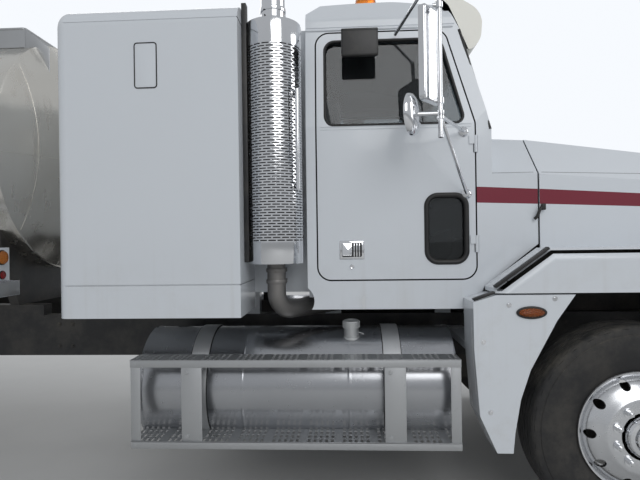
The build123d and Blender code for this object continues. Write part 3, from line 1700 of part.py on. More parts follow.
# Pump and pipes: a drain from the tank, a pump between the rails, a pipe across the back with
# a spray head at each end, and a hose coupling in the middle
outlet_distance = tank_rear - 280.0
outlet_radius = 57.0
pump_distance = tank_rear - 20.0
pump_z = 860.0
spray_distance = rear_end - 130.0
spray_z = 640.0
coupling_length = 60.0
coupling_radius = 45.0
coupling_bore = 38.0
with BuildPart() as pump_piping:
    bar((behind(outlet_distance), 0, pump_z), (behind(outlet_distance), 0, 1400.0), outlet_radius)
    add(water_tank.part, mode=Mode.SUBTRACT)
    bar((behind(outlet_distance), 0, pump_z), (behind(pump_distance), 0, pump_z), outlet_radius)
    bar((behind(pump_distance - 60.0), 0, pump_z), (behind(pump_distance + 60.0), 0, pump_z), 170.0)
    bar((behind(pump_distance), 0, pump_z), (behind(pump_distance), 0, spray_z), outlet_radius)
    bar((behind(pump_distance), 0, spray_z), (behind(spray_distance), 0, spray_z), outlet_radius)
    bar((behind(spray_distance), -850.0, spray_z), (behind(spray_distance), 850.0, spray_z), 38.0)
    for side in (-1, 1):
        with BuildSketch(Plane.XZ.offset(-side * 850.0)) as spray:
            with BuildLine():
                Polyline(
                    (behind(spray_distance - 40.0), spray_z - 50.0),
                    (behind(spray_distance - 40.0), spray_z + 50.0),
                    (behind(spray_distance + 60.0), spray_z + 60.0),
                    (behind(spray_distance + 60.0), spray_z - 30.0),
                    close=True,
                )
            make_face()
        extrude(amount=-side * 90.0)
    bar(
        (behind(spray_distance), 0, spray_z),
        (behind(spray_distance + 60.0 + coupling_length), 0, spray_z),
        coupling_radius,
    )
    bar(
        (behind(spray_distance + 60.0), 0, spray_z),
        (behind(spray_distance + 60.0 + coupling_length), 0, spray_z),
        coupling_bore,
        Mode.SUBTRACT,
    )
save(pump_piping.part, "pump_piping")

# Rear fenders: a long sheet over the four duals on each side, and a flap behind them
fender_in = 600.0
fender_out = 1235.0
rear_fender_top = 1150.0
rear_fender_wall = 5.0
with BuildPart() as rear_fenders:
    with BuildSketch(Plane.XZ.offset(fender_in)):
        front_x = behind(first_axle - 700.0)
        rear_x = behind(second_axle + 700.0)
        with BuildLine():
            Polyline(
                (front_x + 30.0, 700.0),
                (front_x, 900.0),
                (front_x - 220.0, rear_fender_top),
                (rear_x + 220.0, rear_fender_top),
                (rear_x, 900.0),
                (rear_x, 260.0),
            )
            offset(amount=rear_fender_wall, side=Side.LEFT, closed=True)
        make_face()
    extrude(amount=fender_out - fender_in)
    # Stays from the rail: one under each sloping end, one up between the wheels
    stay_end = fender_out - 40.0
    for distance in (first_axle - 620.0, second_axle + 620.0):
        bar((behind(distance), -rail_web_y - seat_gap, 985.0), (behind(distance), -stay_end, 985.0), 20.0)
    middle_x = behind(bogie_distance - 80.0)
    box_between(
        (middle_x - 20.0, -rail_web_y - 40.0, 900.0),
        (middle_x + 20.0, -rail_web_y - seat_gap, rear_fender_top),
    )
    box_between(
        (middle_x - 20.0, -stay_end, rear_fender_top - 40.0),
        (middle_x + 20.0, -rail_web_y - seat_gap, rear_fender_top + 1.0),
    )
    mirror(about=Plane.XZ)
save(rear_fenders.part, "rear_fenders")

# Rear bumper bar on two hangers, with the lamp panel above it
with BuildPart() as rear_bumper:
    box_between((behind(rear_end), -1000.0, 440.0), (behind(rear_end - 90.0), 1000.0, 540.0))
    box_between(
        (behind(rear_end), -1130.0, 880.0),
        (behind(rear_end - 12.0), 1130.0, 1000.0),
    )
    for side in (-1, 1):
        y = side * (rail_web_y - rail_flange / 2)
        box_between((behind(rear_end - 20.0), y - 40.0, 500.0), (behind(rear_end - 80.0), y + 40.0, 1000.0))
        box_between(
            (behind(rear_end - 10.0), y - 44.0, rail_bottom),
            (behind(rail_rear) - seat_gap, y + 44.0, rail_top),
        )
save(rear_bumper.part, "rear_bumper")

# Lamps on the body: five on the roof, an amber beacon, and the rear lamps
roof_lamp_ys = (-600.0, -160.0, 0, 160.0, 600.0)
roof_lamp_radius = 30.0
roof_lamp_distance = 1000.0
beacon_distance = 1290.0
beacon_y = 520.0
beacon_radius = 85.0
beacon_height = 170.0
roof_rise = (cab_roof_z - roof_front_z) / (roof_top_distance - roof_front_distance)
roof_lamp_z = (
    roof_front_z
    + (roof_lamp_distance - roof_front_distance) * roof_rise
    + (roof_lamp_radius + seat_gap) * sqrt(1 + roof_rise**2)
)
with BuildPart() as body_lamps:
    for y in roof_lamp_ys:
        with Locations((behind(roof_lamp_distance), y, roof_lamp_z)):
            Sphere(roof_lamp_radius)
    for side in (-1, 1):
        with Locations((behind(beacon_distance), side * beacon_y, cab_roof_z + seat_gap)):
            Cylinder(beacon_radius, beacon_height, align=(Align.CENTER, Align.CENTER, Align.MIN))
    for side in (-1, 1):
        for y in (760.0, 900.0, 1040.0):
            bar(
                (behind(rear_end - 12.0 - seat_gap), side * y, 940.0),
                (behind(rear_end - 30.0), side * y, 940.0),
                50.0,
            )
save(body_lamps.part, "body_lamps")
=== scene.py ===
# %% [markdown]
# # A water truck
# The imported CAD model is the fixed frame: every panel, rail and axle is already there at its real
# size. This script gives it a look: paint, polished metal and rubber, and the small things a
# designer leaves out of the solid model, such as tread, perforations, gaskets, bolts and lenses.
# Everything is in metres. +X is forward, +Y is the truck's left and +Z is up.

# %% Load the frame
import json
from math import atan, atan2, cos, degrees, exp, pi, radians, sin, sqrt

import bpy
from mathutils import Matrix, Vector

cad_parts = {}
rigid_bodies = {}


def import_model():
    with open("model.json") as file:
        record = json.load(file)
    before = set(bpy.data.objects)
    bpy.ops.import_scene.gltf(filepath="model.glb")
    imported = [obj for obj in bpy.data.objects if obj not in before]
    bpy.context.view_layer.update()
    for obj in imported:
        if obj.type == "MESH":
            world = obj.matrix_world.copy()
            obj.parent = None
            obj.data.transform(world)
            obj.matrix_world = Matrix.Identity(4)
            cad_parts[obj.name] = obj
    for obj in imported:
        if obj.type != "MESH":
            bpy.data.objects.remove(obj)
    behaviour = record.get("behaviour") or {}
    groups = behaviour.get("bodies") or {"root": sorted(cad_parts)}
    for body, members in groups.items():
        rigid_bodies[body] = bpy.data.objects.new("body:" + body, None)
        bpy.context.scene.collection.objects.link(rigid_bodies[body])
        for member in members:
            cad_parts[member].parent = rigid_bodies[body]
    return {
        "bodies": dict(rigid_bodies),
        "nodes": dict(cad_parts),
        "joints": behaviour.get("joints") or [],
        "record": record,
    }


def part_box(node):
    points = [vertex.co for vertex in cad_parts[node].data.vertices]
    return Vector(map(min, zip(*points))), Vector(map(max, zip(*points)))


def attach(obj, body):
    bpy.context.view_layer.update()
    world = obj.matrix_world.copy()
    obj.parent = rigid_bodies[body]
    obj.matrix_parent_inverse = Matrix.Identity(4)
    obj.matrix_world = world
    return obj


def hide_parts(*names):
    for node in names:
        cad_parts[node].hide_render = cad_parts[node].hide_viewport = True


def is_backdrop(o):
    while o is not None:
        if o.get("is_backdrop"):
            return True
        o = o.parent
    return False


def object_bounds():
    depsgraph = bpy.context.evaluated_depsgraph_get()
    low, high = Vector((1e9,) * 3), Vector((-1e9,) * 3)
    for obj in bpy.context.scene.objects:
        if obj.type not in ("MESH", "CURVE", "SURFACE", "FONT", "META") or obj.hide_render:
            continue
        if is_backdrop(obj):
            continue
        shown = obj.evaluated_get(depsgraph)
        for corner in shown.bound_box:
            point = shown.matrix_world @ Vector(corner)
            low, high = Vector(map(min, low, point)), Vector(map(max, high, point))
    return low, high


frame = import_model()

cad_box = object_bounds()
nodes = frame["nodes"]
axle_low, axle_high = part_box("front_tyre_right")
axle_x = (axle_low.x + axle_high.x) / 2
axle_z = (axle_low.z + axle_high.z) / 2
SIDES = (("right", -1), ("left", 1))


def behind(distance):
    """X of a place this far behind the front axle."""
    return axle_x - distance


print("CAD nodes:", len(nodes), "front axle at", round(axle_x, 3), round(axle_z, 3))

# %% [markdown]
# ## Working by hand, in code
# Blender's operators act on what is selected, so the first helpers put things in a known state:
# nothing selected, object mode. Faces or edges are then picked by a test on their place, which
# is the coded form of clicking on them. `done` ends every piece: its place goes into its mesh,
# it is shaded smooth up to an angle, and it is told which body of the truck it rides on.


# %% Selection helpers
def clear():
    """Object mode, with nothing selected."""
    if bpy.context.mode != "OBJECT":
        bpy.ops.object.mode_set(mode="OBJECT")
    bpy.ops.object.select_all(action="DESELECT")


def only(piece):
    """Selects one object and makes it active."""
    clear()
    piece.select_set(True)
    bpy.context.view_layer.objects.active = piece
    return piece


def edit(mode="FACE"):
    """Edit mode on the active object, with nothing selected in it."""
    bpy.ops.object.mode_set(mode="EDIT")
    bpy.ops.mesh.select_mode(type=mode)
    bpy.ops.mesh.select_all(action="DESELECT")


def pick(test, kind="FACE"):
    """Selects the faces, edges or vertices of the active mesh whose centre passes a test."""
    bpy.ops.object.mode_set(mode="OBJECT")
    mesh = bpy.context.object.data
    for vertex in mesh.vertices:
        vertex.select = False
    for line in mesh.edges:
        line.select = False
    for face in mesh.polygons:
        face.select = False
    if kind == "FACE":
        for face in mesh.polygons:
            face.select = bool(test(face.center, face.normal))
    elif kind == "EDGE":
        for line in mesh.edges:
            ends = [mesh.vertices[i].co for i in line.vertices]
            line.select = bool(test(ends[0], ends[1]))
    else:
        for vertex in mesh.vertices:
            vertex.select = bool(test(vertex.co))
    bpy.ops.object.mode_set(mode="EDIT")
    bpy.ops.mesh.select_mode(type={"FACE": "FACE", "EDGE": "EDGE", "VERT": "VERT"}[kind])


def apply_modifier(piece, kind, **settings):
    """Adds a modifier to a piece, sets it and applies it."""
    only(piece)
    modifier = piece.modifiers.new(kind.title(), kind)
    for key, value in settings.items():
        setattr(modifier, key, value)
    bpy.ops.object.modifier_apply(modifier=modifier.name)
    return piece


def outward(piece):
    """Merges doubles and turns every face outwards."""
    only(piece)
    edit()
    bpy.ops.mesh.select_all(action="SELECT")
    bpy.ops.mesh.remove_doubles(threshold=0.00002)
    bpy.ops.mesh.normals_make_consistent(inside=False)
    clear()
    return piece


def done(piece, name, body, finish, replaces=(), sharp=30.0):
    """The last step of every piece."""
    only(piece)
    bpy.ops.object.transform_apply(location=True, rotation=True, scale=True)
    bpy.ops.object.shade_smooth_by_angle(angle=radians(sharp))
    piece.name = name
    piece.data.name = name
    if finish is not None:
        piece.data.materials.clear()
        piece.data.materials.append(finish)
    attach(piece, body)
    if replaces:
        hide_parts(*replaces)
    return piece


def join(pieces):
    """Several objects as one mesh."""
    clear()
    for piece in pieces:
        piece.select_set(True)
    bpy.context.view_layer.objects.active = pieces[0]
    if len(pieces) > 1:
        bpy.ops.object.join()
    return bpy.context.object


def copied(piece, place):
    """A copy of a piece with its own mesh, put through a matrix."""
    twin = piece.copy()
    twin.data = piece.data.copy()
    bpy.context.collection.objects.link(twin)
    twin.data.transform(place)
    if place.determinant() < 0:
        only(twin)
        edit()
        bpy.ops.mesh.select_all(action="SELECT")
        bpy.ops.mesh.flip_normals()
        clear()
    return twin


MIRROR = Matrix.Diagonal((1, -1, 1, 1))

# %% [markdown]
# ## Four ways to start a piece
# Most hardware on a truck is one of four forms. A **block** is a cube, scaled and bevelled. A
# **lathe** piece is a profile drawn as a chain of vertices, by extruding one vertex again and
# again, and spun round an axis. A **tube** is such a chain with its corners rounded, turned into
# a curve to get its round section, and back into a mesh. A **plate** is a closed outline filled
# with one face, rounded at its corners and given a thickness.


# %% Starting forms
def block(low, high, bevel=0.003, segments=2):
    """A bevelled box between two corners."""
    clear()
    low, high = Vector(low), Vector(high)
    bpy.ops.mesh.primitive_cube_add(size=1, location=(low + high) / 2)
    piece = bpy.context.object
    piece.scale = [abs(b - a) for a, b in zip(low, high)]
    bpy.ops.object.transform_apply(location=True, rotation=True, scale=True)
    if bevel:
        apply_modifier(piece, "BEVEL", width=bevel, segments=segments, limit_method="ANGLE")
    return piece


def chain(points, closed=False):
    """A wire mesh through points, drawn by extruding one vertex along them."""
    clear()
    start = Vector(points[0])
    bpy.ops.mesh.primitive_plane_add(size=0.001, location=start)
    piece = bpy.context.object
    edit("VERT")
    bpy.ops.mesh.select_all(action="SELECT")
    bpy.ops.mesh.merge(type="CENTER")
    for before, after in zip(points, points[1:]):
        step = Vector(after) - Vector(before)
        bpy.ops.mesh.extrude_region_move(TRANSFORM_OT_translate={"value": step})
    if closed:
        bpy.ops.object.mode_set(mode="OBJECT")
        used = [end for line in piece.data.edges for end in line.vertices]
        ends = [vertex.index for vertex in piece.data.vertices if used.count(vertex.index) == 1]
        bpy.ops.object.mode_set(mode="EDIT")
        bpy.ops.mesh.select_all(action="DESELECT")
        bpy.ops.object.mode_set(mode="OBJECT")
        for end in ends:
            piece.data.vertices[end].select = True
        bpy.ops.object.mode_set(mode="EDIT")
        bpy.ops.mesh.edge_face_add()
    clear()
    bpy.ops.object.select_all(action="DESELECT")
    only(piece)
    bpy.ops.object.transform_apply(location=True, rotation=True, scale=True)
    return piece


def lathe(profile, origin, axis, across, steps=64, turn=360.0):
    """A profile of (along the axis, radius) points, spun round an axis through an origin."""
    origin, axis, across = Vector(origin), Vector(axis).normalized(), Vector(across).normalized()
    piece = chain([origin + axis * along + across * radius for along, radius in profile])
    edit("VERT")
    bpy.ops.mesh.select_all(action="SELECT")
    bpy.ops.mesh.spin(steps=steps, angle=radians(turn), center=origin, axis=axis)
    clear()
    return outward(piece)


def tube(points, radius, closed=False, corner=0.0, segments=4, resolution=3):
    """A round tube through points, its corners rounded."""
    piece = chain(points, closed)
    if corner:
        edit("VERT")
        bpy.ops.mesh.select_all(action="SELECT")
        bpy.ops.mesh.bevel(offset=corner, segments=segments, affect="VERTICES", clamp_overlap=True)
        clear()
    only(piece)
    bpy.ops.object.convert(target="CURVE")
    piece = bpy.context.object
    piece.data.bevel_depth = radius
    piece.data.bevel_resolution = resolution
    piece.data.use_fill_caps = not closed
    bpy.ops.object.convert(target="MESH")
    return outward(bpy.context.object)


def plate(points, thickness, corner=0.0, bevel=0.0, segments=6):
    """A flat outline with rounded corners, given a thickness along its own normal."""
    piece = chain(points, closed=True)
    edit("VERT")
    bpy.ops.mesh.select_all(action="SELECT")
    if corner:
        bpy.ops.mesh.bevel(offset=corner, segments=segments, affect="VERTICES")
        bpy.ops.mesh.select_all(action="SELECT")
    bpy.ops.mesh.edge_face_add()
    bpy.ops.mesh.extrude_region_move(TRANSFORM_OT_translate={"value": Vector(thickness)})
    clear()
    outward(piece)
    if bevel:
        apply_modifier(piece, "BEVEL", width=bevel, segments=2, limit_method="ANGLE")
    return piece


def bolt(place, axis, radius=0.011, height=0.009):
    """A hexagon bolt head on a washer, standing on a place and pointing along an axis."""
    axis = Vector(axis).normalized()
    clear()
    turn = axis.to_track_quat("Z", "Y").to_euler()
    middle = Vector(place) + axis * height / 2
    bpy.ops.mesh.primitive_cylinder_add(
        vertices=6, radius=radius, depth=height, location=middle, rotation=turn
    )
    head = bpy.context.object
    bpy.ops.object.transform_apply(location=True, rotation=True, scale=True)
    apply_modifier(head, "BEVEL", width=radius * 0.12, segments=1, limit_method="ANGLE")
    bpy.ops.mesh.primitive_cylinder_add(
        vertices=20, radius=radius * 1.45, depth=height * 0.3, rotation=turn,
        location=Vector(place) + axis * height * 0.15,
    )
    washer = bpy.context.object
    only(washer)
    bpy.ops.object.transform_apply(location=True, rotation=True, scale=True)
    return join([head, washer])


print("Starting forms ready")

# %% [markdown]
# ## Shader sums
# A finish is a small sum of noises and masks. Wrapping a socket in a class with operators lets
# the sum be written as one, and each operator then adds its Math node. Every other node comes
# from one method, `node`, which takes the node's type, its settings and its inputs.


# %% Shader maths
class Value:
    """A shader socket that can stand in a sum."""

    def __init__(self, finish, socket):
        self.finish = finish
        self.socket = socket

    def math(self, operation, *others, swapped=False):
        terms = [self, *others]
        if swapped:
            terms.reverse()
        inputs = dict(enumerate(terms))
        return self.finish.node("ShaderNodeMath", {"operation": operation}, inputs)

    def __add__(self, other):
        return self.math("ADD", other)

    def __radd__(self, other):
        return self.math("ADD", other, swapped=True)

    def __sub__(self, other):
        return self.math("SUBTRACT", other)

    def __rsub__(self, other):
        return self.math("SUBTRACT", other, swapped=True)

    def __mul__(self, other):
        return self.math("MULTIPLY", other)

    def __rmul__(self, other):
        return self.math("MULTIPLY", other, swapped=True)

    def __truediv__(self, other):
        return self.math("DIVIDE", other)

    def above(self, other):
        return self.math("GREATER_THAN", other)

    def below(self, other):
        return self.math("LESS_THAN", other)

    def size(self):
        return self.math("ABSOLUTE")

    def both(self, other):
        return self.math("MINIMUM", other)

    def either(self, other):
        return self.math("MAXIMUM", other)

    def ramp(self, low, high):
        """0 below low and 1 above high, smooth between."""
        settings = {"interpolation_type": "SMOOTHSTEP"}
        inputs = {"Value": self, "From Min": low, "From Max": high}
        return self.finish.node("ShaderNodeMapRange", settings, inputs)


class Finish:
    """A material in the making: a Principled shader and the nodes that feed it."""

    def __init__(self, name, color, roughness=0.5, metallic=0.0, **constants):
        self.material = bpy.data.materials.new(name)
        self.material.use_nodes = True
        self.tree = self.material.node_tree
        self.shader = self.tree.nodes["Principled BSDF"]
        self.color = (*color, 1.0)
        self.shader.inputs["Base Color"].default_value = self.color
        self.shader.inputs["Roughness"].default_value = roughness
        self.shader.inputs["Metallic"].default_value = metallic
        for key, value in constants.items():
            self.shader.inputs[key.replace("_", " ")].default_value = value
        self.height = None

    def node(self, kind, settings=None, inputs=None, output=0):
        made = self.tree.nodes.new(kind)
        for key, value in (settings or {}).items():
            setattr(made, key, value)
        for key, value in (inputs or {}).items():
            if isinstance(value, Value):
                self.tree.links.new(value.socket, made.inputs[key])
            else:
                made.inputs[key].default_value = value
        return Value(self, made.outputs[output])

    def place(self):
        """X, Y and Z of the point that is shaded, in metres."""
        where = self.node("ShaderNodeTexCoord", output="Object")
        split = self.tree.nodes.new("ShaderNodeSeparateXYZ")
        self.tree.links.new(where.socket, split.inputs[0])
        return [Value(self, out) for out in split.outputs]

    def facing(self):
        """X, Y and Z of the way the surface faces."""
        normal = self.node("ShaderNodeNewGeometry", output="Normal")
        split = self.tree.nodes.new("ShaderNodeSeparateXYZ")
        self.tree.links.new(normal.socket, split.inputs[0])
        return [Value(self, out) for out in split.outputs]

    def noise(self, scale, stretch=(1, 1, 1), detail=3.0, roughness=0.5):
        """Noise on the piece's own metres, stretched along its axes."""
        where = self.node("ShaderNodeTexCoord", output="Object")
        sized = self.node("ShaderNodeMapping", inputs={"Vector": where, "Scale": stretch})
        inputs = {"Vector": sized, "Scale": scale, "Detail": detail, "Roughness": roughness}
        return self.node("ShaderNodeTexNoise", inputs=inputs)

    def mix(self, mask, below, above):
        """One colour where the mask is 0, another where it is 1."""
        inputs = {0: mask, 6: self.solid(below), 7: self.solid(above)}
        return self.node("ShaderNodeMix", {"data_type": "RGBA"}, inputs, output=2)

    def solid(self, color):
        return color if isinstance(color, Value) else (*tuple(color)[:3], 1.0)

    def feed(self, **values):
        """Links values to the shader's inputs, or sets them."""
        for key, value in values.items():
            target = self.shader.inputs[key.replace("_", " ")]
            if isinstance(value, Value):
                self.tree.links.new(value.socket, target)
            else:
                target.default_value = value
        return self

    def bump(self, height, distance=0.001, strength=1.0):
        """Relief from a height of 0 to 1, this many metres deep."""
        inputs = {"Height": height, "Distance": distance, "Strength": strength}
        self.feed(Normal=self.node("ShaderNodeBump", inputs=inputs))
        return self


print("Shader maths ready")

# %% [markdown]
# ## Paint
# A truck's white paint is a hard gloss with road dust settled low down and thin vertical runs.
# The red stripe is a mask in the same material, worked out from X and Z, so it
# crosses the gap between cab and hood in one line. It starts at the door's front seam.


# %% Sizes of the stripe
STRIPE_START = behind(0.742)
STRIPE_TOP = 1.768
STRIPE_TOP_FALL = 0.039
STRIPE_BOTTOM = 1.683
STRIPE_BOTTOM_FALL = 0.026
STRIPE_END = behind(-1.085)
# The white paint is given darker and bluer than white: a painted shade with blue sky light on the truck's side.
WHITE_IN_SHADE = (0.70, 0.735, 0.775)
STRIPE_RED = (0.20, 0.014, 0.032)
DUST = (0.40, 0.36, 0.29)


def painted(name, color, dirt=0.5, stripe=False):
    """Gloss paint with dust and runs low down, and the stripe if the panel carries it."""
    paint = Finish(name, color, roughness=0.22, Coat_Weight=0.35, Coat_Roughness=0.06)
    x, y, z = paint.place()
    nx, ny, nz = paint.facing()
    shade = paint.noise(2.3, detail=4).ramp(0.3, 0.75) * 0.06
    body = paint.mix(shade, color, [0.86 * part for part in color])
    if stripe:
        run = x - STRIPE_START
        below_top = z.below(STRIPE_TOP - run * STRIPE_TOP_FALL)
        above_bottom = z.above(STRIPE_BOTTOM - run * STRIPE_BOTTOM_FALL)
        ends = x.above(STRIPE_START).both(x.below(STRIPE_END))
        outside = ny.size().above(0.5).both(y.size().above(0.58))
        mask = below_top.both(above_bottom).both(ends).both(outside)
        body = paint.mix(mask, body, STRIPE_RED)
    runs = paint.noise(1.0, (22, 22, 0.7), detail=5).ramp(0.5, 0.8)
    low = (1.75 - z).ramp(0.0, 1.1)
    patches = paint.noise(5.0, detail=6, roughness=0.65).ramp(0.45, 0.8)
    dusty = (runs * 0.5 + patches * 0.5) * low * dirt + nz.ramp(0.6, 1.0) * patches * 0.25
    paint.feed(Base_Color=paint.mix(dusty, body, DUST), Roughness=0.2 + dusty * 0.5)
    paint.bump(paint.noise(170.0, detail=2), 0.00012, 0.5)
    return paint.material


white_paint = painted("white_paint", WHITE_IN_SHADE)
striped_paint = painted("white_paint_striped", WHITE_IN_SHADE, stripe=True)
grey_paint = painted("grey_paint", (0.22, 0.23, 0.24), dirt=0.8)
seam_grey = painted("seam_grey", (0.30, 0.31, 0.32), dirt=0.2)
visor_plastic = painted("visor_plastic", (0.78, 0.77, 0.70), dirt=0.3)
print("Paints:", white_paint.name, striped_paint.name, grey_paint.name)

# %% [markdown]
# ## Metals
# Polished aluminium, stainless steel and chrome differ less in colour than in what breaks up
# their reflections: long fine scratches on the fuel tank, hoop-wise brushing and hazy bands on the
# water tank, and almost nothing on chrome. The scratches are noise stretched along the way the
# metal was worked.


# %% Bright metals
def bright(name, color, roughness, scratch_scale, stretch, depth=0.00006, haze=0.12):
    metal = Finish(name, color, roughness=roughness, metallic=1.0)
    scratches = metal.noise(scratch_scale, stretch, detail=5, roughness=0.7)
    cloud = metal.noise(1.7, detail=4).ramp(0.35, 0.75)
    spots = metal.noise(38.0, detail=3).ramp(0.62, 0.8)
    dull = scratches * haze + cloud * haze * 0.7 + spots * haze
    metal.feed(
        Roughness=roughness + dull,
        Base_Color=metal.mix(cloud * 0.5 + spots * 0.2, color, [0.8 * part for part in color]),
    )
    return metal.bump(scratches, depth, 0.6).material


chrome = bright("chrome", (0.80, 0.81, 0.83), 0.05, 60.0, (1, 1, 1), 0.00002, 0.05)
polished_aluminium = bright("polished_aluminium", (0.72, 0.73, 0.75), 0.16, 9.0, (0.4, 30, 30))
wheel_aluminium = bright("wheel_aluminium", (0.74, 0.75, 0.77), 0.14, 30.0, (1, 1, 1))
step_aluminium = bright("step_aluminium", (0.55, 0.56, 0.57), 0.3, 12.0, (0.6, 20, 20), 0.0001, 0.2)


def tank_metal():
    """Stainless steel rolled into hoops, with clouds of a darker, warmer tint and darker runs."""
    metal = Finish("stainless", (0.80, 0.78, 0.73), roughness=0.22, metallic=1.0)
    x, y, z = metal.place()
    brushed = metal.noise(14.0, (30, 0.8, 0.8), detail=5, roughness=0.7)
    cloud = metal.noise(1.1, detail=5).ramp(0.35, 0.7)
    runs = metal.noise(1.0, (16, 16, 0.6), detail=5).ramp(0.5, 0.75)
    tint = metal.mix(cloud * 0.5, (0.82, 0.80, 0.75), (0.66, 0.62, 0.55))
    metal.feed(
        Base_Color=metal.mix(runs * 0.25, tint, (0.46, 0.42, 0.35)),
        Roughness=0.17 + brushed * 0.12 + runs * 0.14,
    )
    return metal.bump(brushed, 0.00008, 0.5).material


stainless = tank_metal()
mirror_silver = bright("mirror_silver", (0.86, 0.88, 0.90), 0.01, 60.0, (1, 1, 1), 0.0, 0.015)
pipe_steel = bright("pipe_steel", (0.27, 0.26, 0.25), 0.30, 20.0, (1, 1, 1), 0.0001, 0.25)
dark_steel = bright("dark_steel", (0.10, 0.095, 0.09), 0.5, 20.0, (1, 1, 1), 0.0001, 0.25)
fuel_metal = bright("fuel_metal", (0.46, 0.47, 0.49), 0.15, 9.0, (0.4, 30, 30))
strap_metal = bright("strap_metal", (0.62, 0.63, 0.64), 0.34, 12.0, (0.6, 20, 20), 0.0001, 0.2)
grey_cap = bright("grey_cap", (0.60, 0.61, 0.61), 0.4, 40.0, (1, 1, 1), 0.0001, 0.2)
print("Metals:", chrome.name, polished_aluminium.name, stainless.name)

# %% [markdown]
# ## Frame paint, castings and rubber
# Under the cab everything is black, but never evenly so: dust lies on what faces up, and castings
# keep the grain of their mould. Tyre rubber is dark grey, and paler with dust near the tread.


# %% Dark finishes
def dull(name, color, roughness, grain, depth, dust=0.5, metallic=0.0):
    """A dark finish with a grain, and dust on what faces up."""
    made = Finish(name, color, roughness=roughness, metallic=metallic)
    nx, ny, nz = made.facing()
    patches = made.noise(6.0, detail=6, roughness=0.7).ramp(0.35, 0.75)
    fine = made.noise(grain, detail=4)
    settled = (nz.ramp(-0.2, 1.0) * 0.7 + 0.3) * patches * dust
    pale = [part + (goal - part) * 0.55 for part, goal in zip(color, DUST)]
    made.feed(Base_Color=made.mix(settled, color, pale), Roughness=roughness + settled * 0.3)
    return made.bump(fine, depth, 0.7).material


black_paint = dull("black_paint", (0.018, 0.018, 0.019), 0.38, 90.0, 0.0002, dust=0.45)
cast_iron = dull("cast_iron", (0.045, 0.043, 0.041), 0.6, 140.0, 0.0008, dust=0.6, metallic=0.3)
tyre_rubber = dull("tyre_rubber", (0.020, 0.020, 0.021), 0.72, 220.0, 0.0003, dust=0.5)
gasket_rubber = dull("gasket_rubber", (0.012, 0.012, 0.013), 0.48, 260.0, 0.0001, dust=0.15)
interior_plastic = dull("interior_plastic", (0.075, 0.077, 0.082), 0.55, 420.0, 0.0003, dust=0.1)
# Near black: on the inner faces of cab, sleeper and doors it is a painted shade for the dark inside of the cab;
# the gauge faces have it as their own black.
inner_shade_and_dial_black = dull("inner_shade_and_dial_black", (0.006, 0.006, 0.006), 0.8, 50.0, 0.0002, dust=0.0)
print("Dark finishes:", black_paint.name, cast_iron.name, tyre_rubber.name)

# %% [markdown]
# ## Glass, lenses and cloth
# Window glass is real glass: it lets light through, so the seats show. Lenses are tinted, with a
# pattern of small prisms as bump. The seat cloth's weave is two sets of ribs that take turns.


# %% Clear finishes
def clear_finish(name, color, roughness=0.02, ribs=0.0, **constants):
    """Glass or a lens. Ribs are the prisms of a lens, in ribs to the metre."""
    settings = {"Transmission_Weight": 0.9, "IOR": 1.45, **constants}
    made = Finish(name, color, roughness=roughness, **settings)
    smear = made.noise(7.0, detail=5, roughness=0.6).ramp(0.45, 0.85)
    made.feed(Roughness=roughness + smear * 0.05)
    if ribs:
        x, y, z = made.place()
        wave = (y * ribs * 2 * pi).math("SINE") + (z * ribs * 2 * pi).math("SINE")
        made.bump(wave, 0.0006, 0.8)
    return made.material


window_glass = clear_finish("window_glass", (0.30, 0.33, 0.345), 0.01, Transmission_Weight=0.97,
                            Specular_IOR_Level=0.3)
lamp_glass = clear_finish("lamp_glass", (0.95, 0.96, 0.97), 0.03, ribs=60.0)
amber_lens = clear_finish("amber_lens", (0.95, 0.28, 0.02), 0.12, ribs=160.0)
red_lens = clear_finish("red_lens", (0.60, 0.012, 0.012), 0.12, ribs=160.0)


def woven(name, color, thread=0.0022):
    """Cloth: ribs one way over ribs the other way, by turns."""
    cloth = Finish(name, color, roughness=0.9, Sheen_Weight=0.3)
    x, y, z = cloth.place()
    turns = 2 * pi / thread
    across = (y * turns).math("SINE")
    along = ((x + z) * turns).math("SINE")
    weave = across * along
    worn = cloth.noise(9.0, detail=5).ramp(0.4, 0.75)
    pale = [min(1.0, part * 1.6 + 0.02) for part in color]
    cloth.feed(Base_Color=cloth.mix(worn * 0.5 + weave * 0.12, color, pale))
    return cloth.bump(weave * 0.5 + 0.5, 0.0005, 0.8).material


seat_fabric = woven("seat_fabric", (0.10, 0.105, 0.12))
bunk_fabric = woven("bunk_fabric", (0.16, 0.15, 0.14), 0.003)
print("Clear finishes and cloth ready")

# %% [markdown]
# ## Finishes for the CAD nodes
# Each node of the frame keeps its shape, and gets a finish by its name.


# %% Give every node its finish
FINISHES = {
    white_paint: (
        "sleeper_shell", "sun_visor", "door_right", "door_left", "fender_extensions",
    ),
    striped_paint: ("cab_shell", "hood"),
    window_glass: ("windshield", "door_glass_right", "door_glass_left"),
    interior_plastic: ("cab_fittings", "steering_wheel"),
    seat_fabric: ("seats",),
    bunk_fabric: ("bunk_mattress",),
    chrome: (
        "front_bumper", "grille", "exhaust_guards", "exhaust_pipes", "mirrors_right",
        "mirrors_left",
    ),
    lamp_glass: ("headlamps",),
    amber_lens: ("body_lamps",),
    polished_aluminium: ("fuel_tanks", "hose_trays"),
    step_aluminium: ("side_steps", "tank_top_rails", "tank_ladder", "rear_fenders"),
    stainless: ("water_tank", "manhole_collar", "manhole_lid"),
    black_paint: ("chassis_rails", "crossmembers", "rear_bumper", "tank_cradle", "pump_piping"),
    cast_iron: (
        "front_axle", "knuckle_right", "knuckle_left", "tie_rod", "leaf_springs", "drive_axles",
        "driveshafts", "engine_block",
    ),
}
NODE_FINISH = {node: finish for finish, names in FINISHES.items() for node in names}
for node, solid in nodes.items():
    finish = NODE_FINISH.get(node)
    if finish is None:
        finish = tyre_rubber if "tyre" in node else wheel_aluminium
    for slot in solid.material_slots:
        slot.material = finish
    if not solid.material_slots:
        solid.data.materials.append(finish)
print("Finished nodes:", len(nodes))

